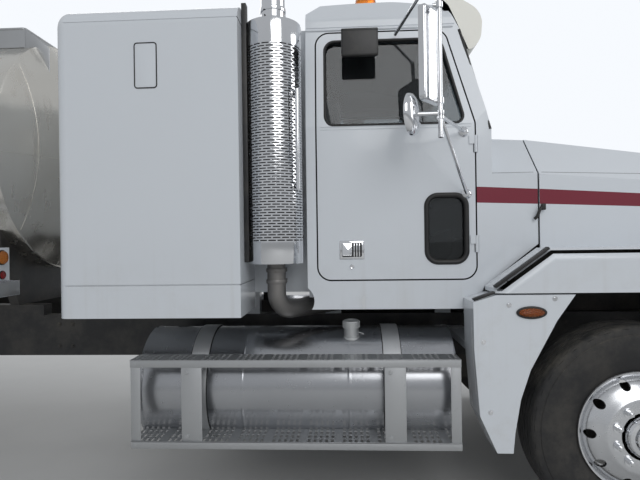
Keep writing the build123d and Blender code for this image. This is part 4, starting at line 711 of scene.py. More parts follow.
# %% [markdown]
# ## Camera, floor and light
# The camera stands where the photographer stood, level with the cab's belt and looking square at
# its right side, turned three degrees towards the rear. The floor is a large pale sheet. The
# light is a bright overcast sky with one broad lamp on each side.


# %% Camera and studio
CAMERA_PLACE = Vector((2.503, -3.725, 1.496))
CAMERA_YAW = 3.0
CAMERA_ROLL = -0.8
FOCAL_PIXELS = 510.0
FRAME_WIDTH = 640.0
SENSOR = 36.0

clear()
bpy.ops.object.camera_add(location=CAMERA_PLACE)
camera = bpy.context.object
camera.name = "camera"
camera.data.sensor_width = SENSOR
camera.data.lens = FOCAL_PIXELS / FRAME_WIDTH * SENSOR
look = Matrix.Rotation(radians(CAMERA_YAW), 4, "Z") @ Matrix.Rotation(radians(90.0), 4, "X")
look = look @ Matrix.Rotation(radians(CAMERA_ROLL), 4, "Z")
camera.rotation_euler = look.to_euler()
bpy.context.scene.camera = camera
bpy.context.scene.view_settings.view_transform = "Standard"

bpy.ops.mesh.primitive_plane_add(size=400.0, location=(0, 0, 0))
floor = bpy.context.object
floor.name = "floor"
ground = Finish("floor", (0.62, 0.62, 0.61), roughness=0.85)
grain = ground.noise(3.0, detail=5).ramp(0.3, 0.8)
ground.feed(Base_Color=ground.mix(grain * 0.2, (0.64, 0.64, 0.63), (0.55, 0.55, 0.54)))
floor.data.materials.append(ground.material)
floor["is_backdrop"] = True


def lamp(name, place, aim, size, power):
    """A square area lamp at a place, aimed at a point."""
    clear()
    bpy.ops.object.light_add(type="AREA", location=place)
    made = bpy.context.object
    made.name = name
    made.data.size = size
    made.data.energy = power
    made.rotation_euler = (Vector(aim) - Vector(place)).to_track_quat("-Z", "Y").to_euler()
    return made


lamp("lamp_right", (5.0, -9.0, 6.5), (1.0, 0.0, 1.4), 6.0, 260.0)
lamp("lamp_left", (-2.0, 10.0, 7.0), (0.0, 0.0, 1.4), 6.0, 260.0)
lamp("lamp_front", (12.0, 1.0, 5.0), (4.0, 0.0, 1.4), 5.0, 200.0)

world = bpy.data.worlds.new("sky")
bpy.context.scene.world = world
world.use_nodes = True
sky = world.node_tree
background = sky.nodes["Background"]
rays = sky.nodes.new("ShaderNodeLightPath")
seen = sky.nodes.new("ShaderNodeMath")
seen.operation = "MAXIMUM"
sky.links.new(rays.outputs["Is Camera Ray"], seen.inputs[0])
sky.links.new(rays.outputs["Is Transmission Ray"], seen.inputs[1])
strength = sky.nodes.new("ShaderNodeMapRange")
SKY_LIGHT = 0.5
sky.links.new(seen.outputs[0], strength.inputs["Value"])
strength.inputs["To Min"].default_value = SKY_LIGHT
strength.inputs["To Max"].default_value = 1.0
sky.links.new(strength.outputs[0], background.inputs["Strength"])
background.inputs["Color"].default_value = (0.93, 0.96, 1.0, 1.0)
print("Camera at", tuple(round(part, 3) for part in CAMERA_PLACE), "lens", camera.data.lens)

# %% [markdown]
# ## Tyres
# A truck tyre is a lathe form: bead, sidewall, shoulder and tread. Only the tread repeats, so one
# tyre is spun in as many steps as it has rows of blocks, and the grooves are then sunk into the
# tread by insetting and extruding its faces. It could be displaced from a texture, but a groove
# has sharp walls that catch the light, and those need faces. One tyre is modelled with its axis
# through the origin and copied to its places.


# %% One tyre
TYRE_RADIUS = axle_z
TYRE_HALF = (axle_high.y - axle_low.y) / 2
BEAD_RADIUS = 0.2875
TREAD_DEPTH = 0.011
TREAD_STEPS = 72
SIDEWALL = (
    (-0.096, BEAD_RADIUS),
    (-0.0985, 0.301),
    (-0.106, 0.318),
    (-0.113, 0.336),
    (-0.131, 0.372),
    (-0.1385, 0.410),
    (-0.1375, 0.448),
    (-0.1300, 0.482),
    (-0.1255, 0.486),
    (-0.1225, 0.508),
    (-0.1150, 0.5195),
)
TREAD_BANDS = (-0.104, -0.063, -0.056, -0.021, -0.014)


def make_tyre():
    half = list(SIDEWALL) + [(out, TYRE_RADIUS) for out in TREAD_BANDS]
    profile = half + [(-out, radius) for out, radius in reversed(half)]
    tyre = lathe(profile, (0, 0, 0), (0, -1, 0), (0, 0, -1), steps=TREAD_STEPS)
    only(tyre)
    edit()
    grooves = (0.0595, 0.0175)

    def in_groove(centre, normal):
        on_tread = sqrt(centre.x**2 + centre.z**2) > TYRE_RADIUS - 0.003
        return on_tread and any(abs(abs(centre.y) - groove) < 0.003 for groove in grooves)

    pick(in_groove)
    bpy.ops.mesh.extrude_region_shrink_fatten(TRANSFORM_OT_shrink_fatten={"value": -TREAD_DEPTH})

    def shoulder_slot(centre, normal):
        turn = round(degrees(atan(centre.x / centre.z)) if abs(centre.z) > 1e-6 else 90.0)
        radius = sqrt(centre.x**2 + centre.z**2)
        step = round((turn + 180) / (360.0 / TREAD_STEPS))
        outer = abs(centre.y) > 0.104 and radius > 0.5
        return outer and step % 2 == 0

    pick(shoulder_slot)
    bpy.ops.mesh.inset(thickness=0.006, depth=0.0, use_individual=True)
    bpy.ops.mesh.extrude_region_shrink_fatten(TRANSFORM_OT_shrink_fatten={"value": -0.008})
    clear()
    only(tyre)
    return tyre


tyre_model = make_tyre()
print("Tyre faces:", len(tyre_model.data.polygons))

# %% [markdown]
# ## Wheels
# The wheels are forged aluminium discs with ten hand holes, and ten nuts on a circle between
# them. The disc is a lathe profile; the holes are cut with a Boolean, because they pass through a
# curved face. Nuts and the chrome cap with its pointed centre are
# separate lathe and bolt pieces on the same body. The CAD wheel keeps its place in the frame, and
# the new wheel stands for it.


# %% One front wheel and one pair of rear wheels
RIM = (
    (0.1105, 0.2995),
    (0.1125, 0.2980),
    (0.1122, 0.2930),
    (0.1070, 0.2860),
    (0.0980, 0.2760),
    (0.0900, 0.2715),
)
DISC_FRONT = RIM + (
    (0.1080, 0.2640),
    (0.1230, 0.2520),
    (0.1340, 0.2380),
    (0.1450, 0.2180),
    (0.1580, 0.1960),
    (0.1655, 0.1860),
    (0.1678, 0.1800),
    (0.1680, 0.1180),
)
BARREL = (
    (-0.1105, 0.2995),
    (-0.1125, 0.2980),
    (-0.1070, 0.2860),
    (-0.0600, 0.2680),
    (-0.0500, 0.2520),
    (0.0500, 0.2500),
    (0.0700, 0.2620),
    (0.0900, 0.2715),
)
HUB_CAP = (
    (0.160, 0.108),
    (0.172, 0.106),
    (0.192, 0.100),
    (0.200, 0.092),
    (0.203, 0.074),
    (0.216, 0.068),
    (0.226, 0.052),
    (0.2285, 0.030),
    (0.2290, 0.0004),
)
HOLES = 10
HOLE_CIRCLE = 0.246
NUT_CIRCLE = 0.142875
OUT = Vector((0, -1, 0))


def round_places(count, radius, start=0.0):
    """Places on a circle round the wheel's axis, with the angle of each."""
    for number in range(count):
        turn = radians(start + 360.0 * number / count)
        yield turn, Vector((cos(turn), 0, sin(turn))) * radius


def cut_holes(wheel, middle, length):
    """Ten round holes along the axis, cut with one Boolean and a cutter of joined cylinders."""
    cutters = []
    for turn, place in round_places(HOLES, HOLE_CIRCLE):
        clear()
        bpy.ops.mesh.primitive_cylinder_add(
            vertices=24, radius=0.0225, depth=length, location=place + OUT * middle,
            rotation=(radians(90), 0, 0),
        )
        cutters.append(bpy.context.object)
    cutter = join(cutters)
    apply_modifier(wheel, "BOOLEAN", operation="DIFFERENCE", object=cutter, solver="EXACT")
    bpy.data.objects.remove(cutter, do_unlink=True)
    return wheel


def nut_ring(stand, radius=0.0168, height=0.028):
    """Ten flanged nuts with their stud ends."""
    pieces = []
    for turn, place in round_places(HOLES, NUT_CIRCLE, 18.0):
        seat = place + OUT * stand
        pieces.append(bolt(seat, OUT, radius, height))
        pieces.append(lathe(
            ((height - 0.002, 0.0095), (height + 0.008, 0.0095), (height + 0.0095, 0.007),
             (height + 0.0095, 0.0003)),
            seat, OUT, (0, 0, 1), steps=12,
        ))
    return join(pieces)


def disc_wheel(face, thickness):
    """Rim and disc as one thick shell with its hand holes."""
    shell = lathe(face, (0, 0, 0), OUT, (0, 0, -1), steps=96)
    apply_modifier(shell, "SOLIDIFY", thickness=thickness, offset=-1)
    cut_holes(shell, 0.12, 0.10)
    return shell


front_disc = disc_wheel(DISC_FRONT, 0.014)
front_barrel = lathe(BARREL, (0, 0, 0), OUT, (0, 0, -1), steps=96)
apply_modifier(front_barrel, "SOLIDIFY", thickness=0.006)
nuts = nut_ring(0.167)
cap = lathe(HUB_CAP, (0, 0, 0), OUT, (0, 0, -1), steps=48)
drum = lathe(
    ((-0.036, 0.03), (-0.036, 0.200), (-0.02, 0.203), (0.11, 0.203), (0.12, 0.198), (0.145, 0.12)),
    (0, 0, 0), OUT, (0, 0, -1), steps=64,
)
print("Front wheel pieces:", front_disc.name, nuts.name, cap.name)

# %% Set the front wheels in place
TURN_ROUND = Matrix.Rotation(pi, 4, "Z")


def wheel_matrix(x, side, out):
    """Moves a piece modelled for the right side, axis through the origin, to its place."""
    place = Matrix.Translation((x, side * out, axle_z))
    return place if side < 0 else place @ TURN_ROUND


front_y = (axle_low.y + axle_high.y) / -2
for name, side in SIDES:
    at = wheel_matrix(axle_x, side, front_y)
    body = f"{name}_front_wheel"
    done(copied(tyre_model, at), f"road_tyre_front_{name}", body, tyre_rubber,
         [f"front_tyre_{name}"], sharp=35)
    wheel = join([copied(front_disc, at), copied(front_barrel, at)])
    done(wheel, f"disc_wheel_front_{name}", body, wheel_aluminium,
         [f"front_wheel_{name}"], sharp=35)
    done(copied(nuts, at), f"wheel_nuts_front_{name}", body, chrome)
    done(copied(cap, at), f"hub_cap_front_{name}", body, chrome)
    done(copied(drum, at), f"brake_drum_front_{name}", body, cast_iron)
print("Front wheels set")

# %% [markdown]
# The rear wheels are the same disc turned about: the outer wheel shows its hollow side, with the
# hub and axle cap in its middle, and the inner wheel faces the other way against it.

# %% Rear wheels
DUAL_OFFSET = 0.168
HUB_REAR = (
    (0.005, 0.128),
    (0.012, 0.130),
    (0.030, 0.128),
    (0.050, 0.098),
    (0.118, 0.092),
    (0.124, 0.088),
    (0.124, 0.070),
    (0.134, 0.060),
    (0.1355, 0.040),
    (0.1358, 0.0004),
)
flip = Matrix.Rotation(pi, 4, "Z")
outer_disc = copied(front_disc, Matrix.Translation(OUT * DUAL_OFFSET) @ flip)
outer_barrel = copied(front_barrel, Matrix.Translation(OUT * DUAL_OFFSET) @ flip)
inner_disc = copied(front_disc, Matrix.Translation(OUT * -DUAL_OFFSET))
inner_barrel = copied(front_barrel, Matrix.Translation(OUT * -DUAL_OFFSET))
dual_model = join([outer_disc, outer_barrel, inner_disc, inner_barrel])
dual_nuts = nut_ring(0.0225, 0.0168, 0.024)
dual_hub = lathe(HUB_REAR, (0, 0, 0), OUT, (0, 0, -1), steps=48)
hub_bolts = []
for turn, place in round_places(8, 0.076, 22.5):
    hub_bolts.append(bolt(place + OUT * 0.1235, OUT, 0.008, 0.007))
dual_hub = join([dual_hub, *hub_bolts])
dual_drum = copied(drum, Matrix.Translation(OUT * -0.176))

for axle in ("mid", "rear"):
    low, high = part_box(f"dual_wheels_{axle}_right")
    x = (low.x + high.x) / 2
    tyre_low, tyre_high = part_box(f"dual_tyres_{axle}_right")
    plane = (tyre_low.y + tyre_high.y) / -2
    for name, side in SIDES:
        at = wheel_matrix(x, side, plane)
        body = f"{name}_{axle}_duals"
        pair = [copied(tyre_model, at @ Matrix.Translation(OUT * way * DUAL_OFFSET))
                for way in (-1, 1)]
        done(join(pair), f"road_tyres_{axle}_{name}", body, tyre_rubber,
             [f"dual_tyres_{axle}_{name}"], sharp=35)
        done(copied(dual_model, at), f"disc_wheels_{axle}_{name}", body, wheel_aluminium,
             [f"dual_wheels_{axle}_{name}"], sharp=35)
        done(copied(dual_nuts, at), f"wheel_nuts_{axle}_{name}", body, chrome)
        done(copied(dual_hub, at), f"axle_hub_{axle}_{name}", body, chrome)
        done(copied(dual_drum, at), f"brake_drum_{axle}_{name}", body, cast_iron)

for model in (tyre_model, front_disc, front_barrel, nuts, cap, drum, dual_model, dual_nuts,
              dual_hub, dual_drum):
    bpy.data.objects.remove(model, do_unlink=True)
print("Rear wheels set")
# %% [markdown]
# ## Exhaust stacks
# Each stack is a muffler inside a round perforated guard. The perforations are real holes: a
# sheet is divided into half slots, every pair is dissolved into one face, each row shifted by a
# half slot from the one below, and each face is inset and deleted. What is left is then given the
# thickness of sheet metal. A picture of holes on a smooth tube would show no edges from nearby.

# %% Guards with real perforations
STACK_X = behind(1.806)
STACK_Y = 1.000
GUARD_RADIUS = 0.149
GUARD_LOW, GUARD_HIGH = 1.375, 2.640
SLOTS_LOW = 1.490
ROW_HEIGHT = 0.0142
SLOT_ROWS = 72
SLOTS_ROUND = 20
SLOT_MARGIN = 0.0042
SHEET = 0.0025


def make_guard():
    """One guard with its axis on the origin's Z, at its real height."""
    clear()
    depth = SLOT_ROWS * ROW_HEIGHT
    bpy.ops.mesh.primitive_cylinder_add(
        vertices=SLOTS_ROUND * 2, radius=GUARD_RADIUS, depth=depth, end_fill_type="NOTHING",
        location=(0, 0, SLOTS_LOW + depth / 2),
    )
    guard = bpy.context.object
    bpy.ops.object.transform_apply(location=True, rotation=True, scale=True)
    edit("EDGE")
    pick(lambda a, b: abs(a.z - b.z) > 0.5, "EDGE")
    bpy.ops.mesh.subdivide(number_cuts=SLOT_ROWS - 1)
    half_turn = 360.0 / (SLOTS_ROUND * 2)

    def inside_slot(a, b):
        if abs(a.z - b.z) < ROW_HEIGHT / 2:
            return False
        row = int((min(a.z, b.z) - SLOTS_LOW + ROW_HEIGHT / 2) / ROW_HEIGHT)
        column = round((degrees(atan2(a.y, a.x)) + 360.0) / half_turn)
        return (row + column) % 2 == 0

    pick(inside_slot, "EDGE")
    bpy.ops.mesh.dissolve_edges(use_verts=False)
    edit("FACE")
    bpy.ops.mesh.select_all(action="SELECT")
    bpy.ops.mesh.inset(thickness=SLOT_MARGIN, depth=0.0, use_individual=True)
    bpy.ops.mesh.delete(type="FACE")
    clear()
    apply_modifier(guard, "SOLIDIFY", thickness=SHEET, offset=-1)
    bands = []
    for low, high in ((GUARD_LOW, SLOTS_LOW), (SLOTS_LOW + depth, GUARD_HIGH)):
        rim, inner = GUARD_RADIUS, GUARD_RADIUS - SHEET
        bead = 0.004
        outer_end = low if low == GUARD_LOW else high
        way = -1 if low == GUARD_LOW else 1
        profile = (
            (low if way > 0 else high, rim),
            (outer_end - way * bead, rim),
            (outer_end, rim - bead * 0.4),
            (outer_end, rim - bead * 1.6),
            (outer_end - way * bead, inner - bead * 0.3),
            (low if way > 0 else high, inner),
        )
        bands.append(lathe(profile, (0, 0, 0), (0, 0, 1), (1, 0, 0), steps=80))
    return join([guard, *bands])


guard_model = make_guard()
for name, side in SIDES:
    at = Matrix.Translation((STACK_X, side * STACK_Y, 0))
    done(copied(guard_model, at), f"stack_guard_{name}", "chassis", chrome, sharp=35)
bpy.data.objects.remove(guard_model, do_unlink=True)
for name, side in SIDES:
    back = block(
        (behind(1.9597), side * 1.052, 1.385), (behind(1.934), side * 1.098, 2.735), 0.003,
    )
    straps = [back]
    for z in (1.46, 2.02, 2.58):
        straps.append(block(
            (behind(1.9597), side * 0.930, z - 0.02), (behind(1.945), side * 1.075, z + 0.02),
            0.002,
        ))
        straps.append(bolt((behind(1.934), side * 1.075, z), (1, 0, 0), 0.008, 0.006))
    replaced = ["exhaust_guards"] if side < 0 else []
    done(join(straps), f"stack_channel_{name}", "chassis", black_paint, replaced)
print("Guards set")

# %% [markdown]
# Inside the guard stands the muffler, a rolled can with domed ends. The pipe above it goes
# up past the roof, and the pipe below turns inwards and runs forward under the cab. The band
# clamps are lathe rings with a bolt each.

# %% Mufflers, pipes and clamps
MUFFLER = (
    (1.446, 0.052), (1.450, 0.060), (1.456, 0.118), (1.466, 0.1262), (1.480, 0.1270),
    (1.560, 0.1270), (1.566, 0.1240), (1.572, 0.1270), (2.470, 0.1270), (2.476, 0.1240),
    (2.482, 0.1270), (2.575, 0.1270), (2.590, 0.1262), (2.598, 0.118), (2.606, 0.066),
)
PIPE_RADIUS = 0.0635
STACK_TOP = 3.400


def band_clamp(centre, radius, width=0.022, reach=0.012, turn=0.0):
    """A ring with rolled edges and a bolted lug."""
    ring = lathe(
        ((-width / 2, radius), (-width / 2, radius + 0.004), (-width / 4, radius + 0.0055),
         (width / 4, radius + 0.0055), (width / 2, radius + 0.004), (width / 2, radius)),
        centre, (0, 0, 1), (1, 0, 0), steps=40,
    )
    out = Vector((cos(turn), sin(turn), 0))
    lug_centre = Vector(centre) + out * (radius + reach / 2)
    reach_box = Vector((0.009, 0.009, width / 2)) + Vector((abs(out.x), abs(out.y), 0)) * reach / 2
    lug = block(lug_centre - reach_box, lug_centre + reach_box, 0.002)
    across = Vector((-out.y, out.x, 0))
    head = bolt(lug_centre + across * 0.009, across, 0.007, 0.006)
    return join([ring, lug, head])


for name, side in SIDES:
    y = side * STACK_Y
    can = lathe(MUFFLER, (STACK_X, y, 0), (0, 0, 1), (1, 0, 0), steps=56)
    holders = []
    for z in (1.500, 2.550):
        holders.append(lathe(
            ((z, 0.127), (z, 0.1446), (z + 0.014, 0.1446), (z + 0.014, 0.127)),
            (STACK_X, y, 0), (0, 0, 1), (1, 0, 0), steps=56,
        ))
    done(join([can, *holders]), f"muffler_{name}", "chassis", dark_steel, sharp=40)
    upper = lathe(
        ((2.600, PIPE_RADIUS), (2.990, PIPE_RADIUS), (STACK_TOP - 0.002, PIPE_RADIUS),
         (STACK_TOP, PIPE_RADIUS - 0.001), (STACK_TOP, PIPE_RADIUS - 0.003),
         (STACK_TOP - 0.30, PIPE_RADIUS - 0.003)),
        (STACK_X, y, 0), (0, 0, 1), (1, 0, 0), steps=48,
    )
    clamps = [band_clamp((STACK_X, y, z), PIPE_RADIUS, turn=-side * 0.8) for z in (2.668, 2.726)]
    done(join([upper, *clamps]), f"stack_pipe_{name}", "chassis", chrome,
         ["exhaust_pipes"] if side < 0 else [])
    lower = tube(
        [(STACK_X, y, 1.450), (STACK_X, y, 1.120), (behind(1.380), side * 0.520, 1.120),
         (behind(0.150), side * 0.520, 1.120), (behind(0.150), side * 0.3305, 1.120)],
        0.050, corner=0.10, segments=10, resolution=7,
    )
    rings = [band_clamp((STACK_X, y, z), 0.050, turn=-side * 0.8) for z in (1.278, 1.338)]
    done(join([lower, *rings]), f"exhaust_elbow_{name}", "chassis", pipe_steel)

    # The grab rod stands on two feet at the guard's front
    rod_x, rod_y = behind(1.672), side * 1.112
    rod = tube([(rod_x, rod_y, 1.755), (rod_x, rod_y, 2.276)], 0.0105, resolution=5)
    feet = [rod]
    inward = Vector((STACK_X - rod_x, y - rod_y, 0)).normalized()
    for z in (1.775, 2.256):
        start = Vector((rod_x, rod_y, z))
        feet.append(tube([start, start + inward * 0.0265], 0.0085, resolution=4))
        feet.append(lathe(((0.0215, 0.020), (0.0265, 0.020), (0.0215, 0.012)), start, inward,
                          (0, 0, 1), steps=24))
    done(join(feet), f"grab_rod_{name}", "chassis", chrome)
print("Stacks set")
# %% [markdown]
# ## Rubber round the glass
# Every window sits in a black rubber gasket. A gasket is a tube through the opening's corners,
# each corner rounded, and closed on itself. The cab's sides lean
# in above the belt, so the side windows' gaskets take their Y from the height.

# %% Gaskets
CAB_HALF = 0.980
BELT_Z = 2.107
LEAN = 0.080 / 0.613


def cab_side(z):
    """How far out the cab's side stands at a height."""
    return CAB_HALF - max(0.0, z - BELT_Z) * LEAN


def side_points(side, places, out=0.0):
    return [(behind(d), side * (cab_side(z) + out), z) for d, z in places]


DOOR_WINDOW = ((1.535, 2.110), (1.535, 2.586), (0.905, 2.586), (0.788, 2.110))
PEEP = ((1.000, 1.369), (1.000, 1.726), (0.790, 1.726), (0.790, 1.369))
PEEP_MIDDLE = ((behind(1.000) + behind(0.790)) / 2, (1.369 + 1.726) / 2)


def gasket(places, side, radius, corner, out):
    return tube(side_points(side, places, out), radius, closed=True, corner=corner, segments=8,
                resolution=3)


for name, side in SIDES:
    window = gasket(DOOR_WINDOW, side, 0.008, 0.055, -0.003)
    inner = gasket(DOOR_WINDOW, side, 0.006, 0.055, -0.016)
    peep = gasket(PEEP, side, 0.014, 0.060, -0.002)
    done(join([window, inner, peep]), f"door_gaskets_{name}", f"{name}_door", gasket_rubber,
         sharp=50)

WINDSHIELD_LOW, WINDSHIELD_HIGH = 2.127, 2.580


def windshield_x(z):
    return behind(0.650 + (z - 2.060) * 0.150 / 0.580)


low_x, high_x = windshield_x(WINDSHIELD_LOW), windshield_x(WINDSHIELD_HIGH)
wind = tube(
    [(low_x - 0.002, -0.850, WINDSHIELD_LOW), (high_x - 0.002, -0.790, WINDSHIELD_HIGH),
     (high_x - 0.002, 0.790, WINDSHIELD_HIGH), (low_x - 0.002, 0.850, WINDSHIELD_LOW)],
    0.012, closed=True, corner=0.06, segments=8, resolution=3,
)
corner_strips = [wind]
for side in (-1, 1):
    corner_strips.append(tube(
        [(behind(0.656), side * 0.966, 2.075), (behind(0.801), side * 0.910, 2.632)], 0.008,
        resolution=3,
    ))
done(join(corner_strips), "windshield_gasket", "chassis", gasket_rubber,
     sharp=50)

wipers = []
for y in (-0.42, 0.42):
    foot = Vector((windshield_x(2.09) + 0.020, y, 2.088))
    wipers.append(lathe(((-0.03, 0.022), (0.0, 0.022), (0.012, 0.016), (0.014, 0.0005)), foot,
                        (1, 0, 0.25), (0, 1, 0), steps=24))
    tip = Vector((windshield_x(2.40) + 0.030, y - 0.16, 2.40))
    wipers.append(tube([foot, foot.lerp(tip, 0.2) + Vector((0.008, 0, 0)), tip], 0.006, corner=0.03))
    low = Vector((windshield_x(2.20) + 0.014, y - 0.24, 2.20))
    high = Vector((windshield_x(2.56) + 0.014, y - 0.10, 2.56))
    wipers.append(tube([low, low.lerp(high, 0.5) + Vector((0.010, 0, 0.004)), high], 0.0045))
    for part in (0.15, 0.5, 0.85):
        spot = low.lerp(high, part)
        wipers.append(block(spot - Vector((0.006, 0.008, 0.010)), spot + Vector((0.012, 0.008, 0.010)),
                            0.002))
done(join(wipers), "wipers", "chassis", black_paint, sharp=40)
print("Gaskets and wipers set")

# %% [markdown]
# ## Door handles, locks and rails
# The handle is a chrome paddle beside three upright bars in a shallow dish. The dish is a block
# whose front face is inset and sunk, with a dark floor, and the paddle a plate hinged along its
# upper edge, its free edge standing proud for fingers.

# %% Door hardware
for name, side in SIDES:
    def out(distance, depth, z):
        return (behind(distance), side * (CAB_HALF + depth), z)

    dish = block(out(1.467, -0.010, 1.389), out(1.333, 0.006, 1.491), 0.006, 3)
    only(dish)
    edit()
    pick(lambda centre, normal: normal.y * side > 0.95)
    bpy.ops.mesh.inset(thickness=0.011, depth=0.0)
    bpy.ops.mesh.extrude_region_shrink_fatten(TRANSFORM_OT_shrink_fatten={"value": -0.012})
    clear()
    well = block(out(1.454, -0.004, 1.402), out(1.346, 0.0015, 1.478), 0.001, 1)
    done(well, f"handle_well_{name}", f"{name}_door", gasket_rubber)
    paddle = plate(
        [out(1.452, 0.002, 1.477), out(1.400, 0.002, 1.477), out(1.400, 0.012, 1.412),
         out(1.452, 0.012, 1.412)],
        (0, side * 0.004, 0.0012), corner=0.004, bevel=0.001, segments=3,
    )
    bars = [block(out(place + 0.0035, 0.000, 1.404), out(place - 0.0035, 0.005, 1.476), 0.0015)
            for place in (1.388, 1.374, 1.360)]
    paddle = join([paddle, *bars])
    lip = tube([out(1.450, 0.014, 1.412), out(1.402, 0.014, 1.412)], 0.0038, resolution=3)
    lock = lathe(((0.0, 0.012), (0.004, 0.012), (0.006, 0.010), (0.0045, 0.006), (0.0045, 0.0004)),
                 out(1.400, 0.0, 1.350), (0, side, 0), (0, 0, 1), steps=28)
    done(join([dish, paddle, lip, lock]), f"door_handle_{name}", f"{name}_door", chrome,
         sharp=40)

    # Rain rail over the door, and the low moulding at the belt
    rail = tube(side_points(side, ((1.636, 2.652), (0.835, 2.652)), 0.002), 0.0055, resolution=3)
    seam = tube(side_points(side, ((1.636, 2.668), (0.825, 2.668)), 0.000), 0.0030, resolution=2)
    done(join([rail, seam]), f"rain_rail_{name}", "chassis", white_paint, sharp=45)
    belt = [tube([out(1.560, 0.000, 2.103), out(0.760, 0.000, 2.103)], 0.0030, resolution=2),
            tube([out(1.560, 0.000, 2.088), out(0.760, 0.000, 2.088)], 0.0022, resolution=2)]
    done(join(belt), f"belt_moulding_{name}", f"{name}_door", white_paint, sharp=45)

    # Rubber latch between hood and cowl, with its grip
    y = side * 0.936
    pull = tube([(behind(0.385), y + side * 0.010, 1.655), (behind(0.399), y + side * 0.016, 1.640),
                 (behind(0.411), y + side * 0.016, 1.605), (behind(0.425), y + side * 0.010, 1.592)],
                0.0085, corner=0.012, resolution=3)
    grip = block((behind(0.388), y + side * 0.001, 1.640), (behind(0.366), y + side * 0.020, 1.674),
                 0.004, 3)
    done(join([pull, grip]), f"hood_latch_{name}", "hood", gasket_rubber)

    # Seal on the fender's sloping rear edge, where the hood meets the lower piece
    seal_low, seal_high = side * 1.150, side * 1.189
    strip = plate(
        [(behind(0.438), seal_low, 1.4375), (behind(0.438), seal_high, 1.4375),
         (behind(0.699), seal_high, 1.2475), (behind(0.699), seal_low, 1.2475)],
        (-0.0075, 0, 0.0105), corner=0.0, bevel=0.002,
    )
    done(strip, f"fender_seal_{name}", "hood", gasket_rubber)
    lower_strip = plate(
        [(behind(0.703), seal_low, 1.221), (behind(0.703), seal_high, 1.221),
         (behind(0.806), seal_high, 1.1856), (behind(0.806), seal_low, 1.1856)],
        (-0.004, 0, 0.011), corner=0.0, bevel=0.002,
    )
    heads = [lower_strip]
    done(join(heads), f"splash_seal_{name}", "chassis", gasket_rubber)
    screws = [bolt((behind(d), side * 1.190, z), (0, side, 0), 0.0085, 0.006)
              for d, z in ((0.765, 0.985), (0.735, 0.640), (0.640, 1.165), (0.420, 1.195))]
    done(join(screws), f"fender_bolts_{name}", "chassis", chrome)
print("Door hardware, latches and seals set")
# %% [markdown]
# ## Mirrors
# The mirror bracket is a frame of round tube bolted to the door: one upright, a top arm, two
# stays at the belt and a long diagonal. It carries a tall flat mirror and a small round one.
# The tall head is a block, rounded, whose rear face is inset once, leaving a bezel, and sunk
# for the glass, which is a plate of its own so that it can have a mirror's finish.

# %% Mirror frames and heads
MIRROR_X = behind(0.988)
MIRROR_TURN = {-1: 38.0, 1: 30.0}
MIRROR_Y = 1.350
MIRROR_HEAD = Vector((MIRROR_X - 0.032, 0, 2.352))
HEAD_DEPTH, HEAD_HALF, HEAD_HALF_TALL = 0.032, 0.089, 0.220


def make_head():
    """Housing and glass of the tall mirror, facing backwards, centred on the origin."""
    low = Vector((-HEAD_DEPTH / 2, -HEAD_HALF, -HEAD_HALF_TALL))
    housing = block(low, -low, 0.0)
    only(housing)
    edit("EDGE")
    pick(lambda a, b: abs(a.x - b.x) > 0.01, "EDGE")
    bpy.ops.mesh.bevel(offset=0.020, segments=5, affect="EDGES")
    pick(lambda a, b: a.x > 0 and b.x > 0, "EDGE")
    bpy.ops.mesh.bevel(offset=0.009, segments=4, affect="EDGES")
    edit("FACE")
    pick(lambda centre, normal: normal.x < -0.9)
    bpy.ops.mesh.inset(thickness=0.007, depth=0.0)
    bpy.ops.mesh.extrude_region_shrink_fatten(TRANSFORM_OT_shrink_fatten={"value": -0.004})
    clear()
    glass = block((-HEAD_DEPTH / 2 + 0.0030, -HEAD_HALF + 0.008, -HEAD_HALF_TALL + 0.008),
                  (-HEAD_DEPTH / 2 + 0.0045, HEAD_HALF - 0.008, HEAD_HALF_TALL - 0.008), 0.0)
    only(glass)
    edit("EDGE")
    pick(lambda a, b: abs(a.x - b.x) > 0.001, "EDGE")
    bpy.ops.mesh.bevel(offset=0.013, segments=5, affect="EDGES")
    clear()
    return housing, glass


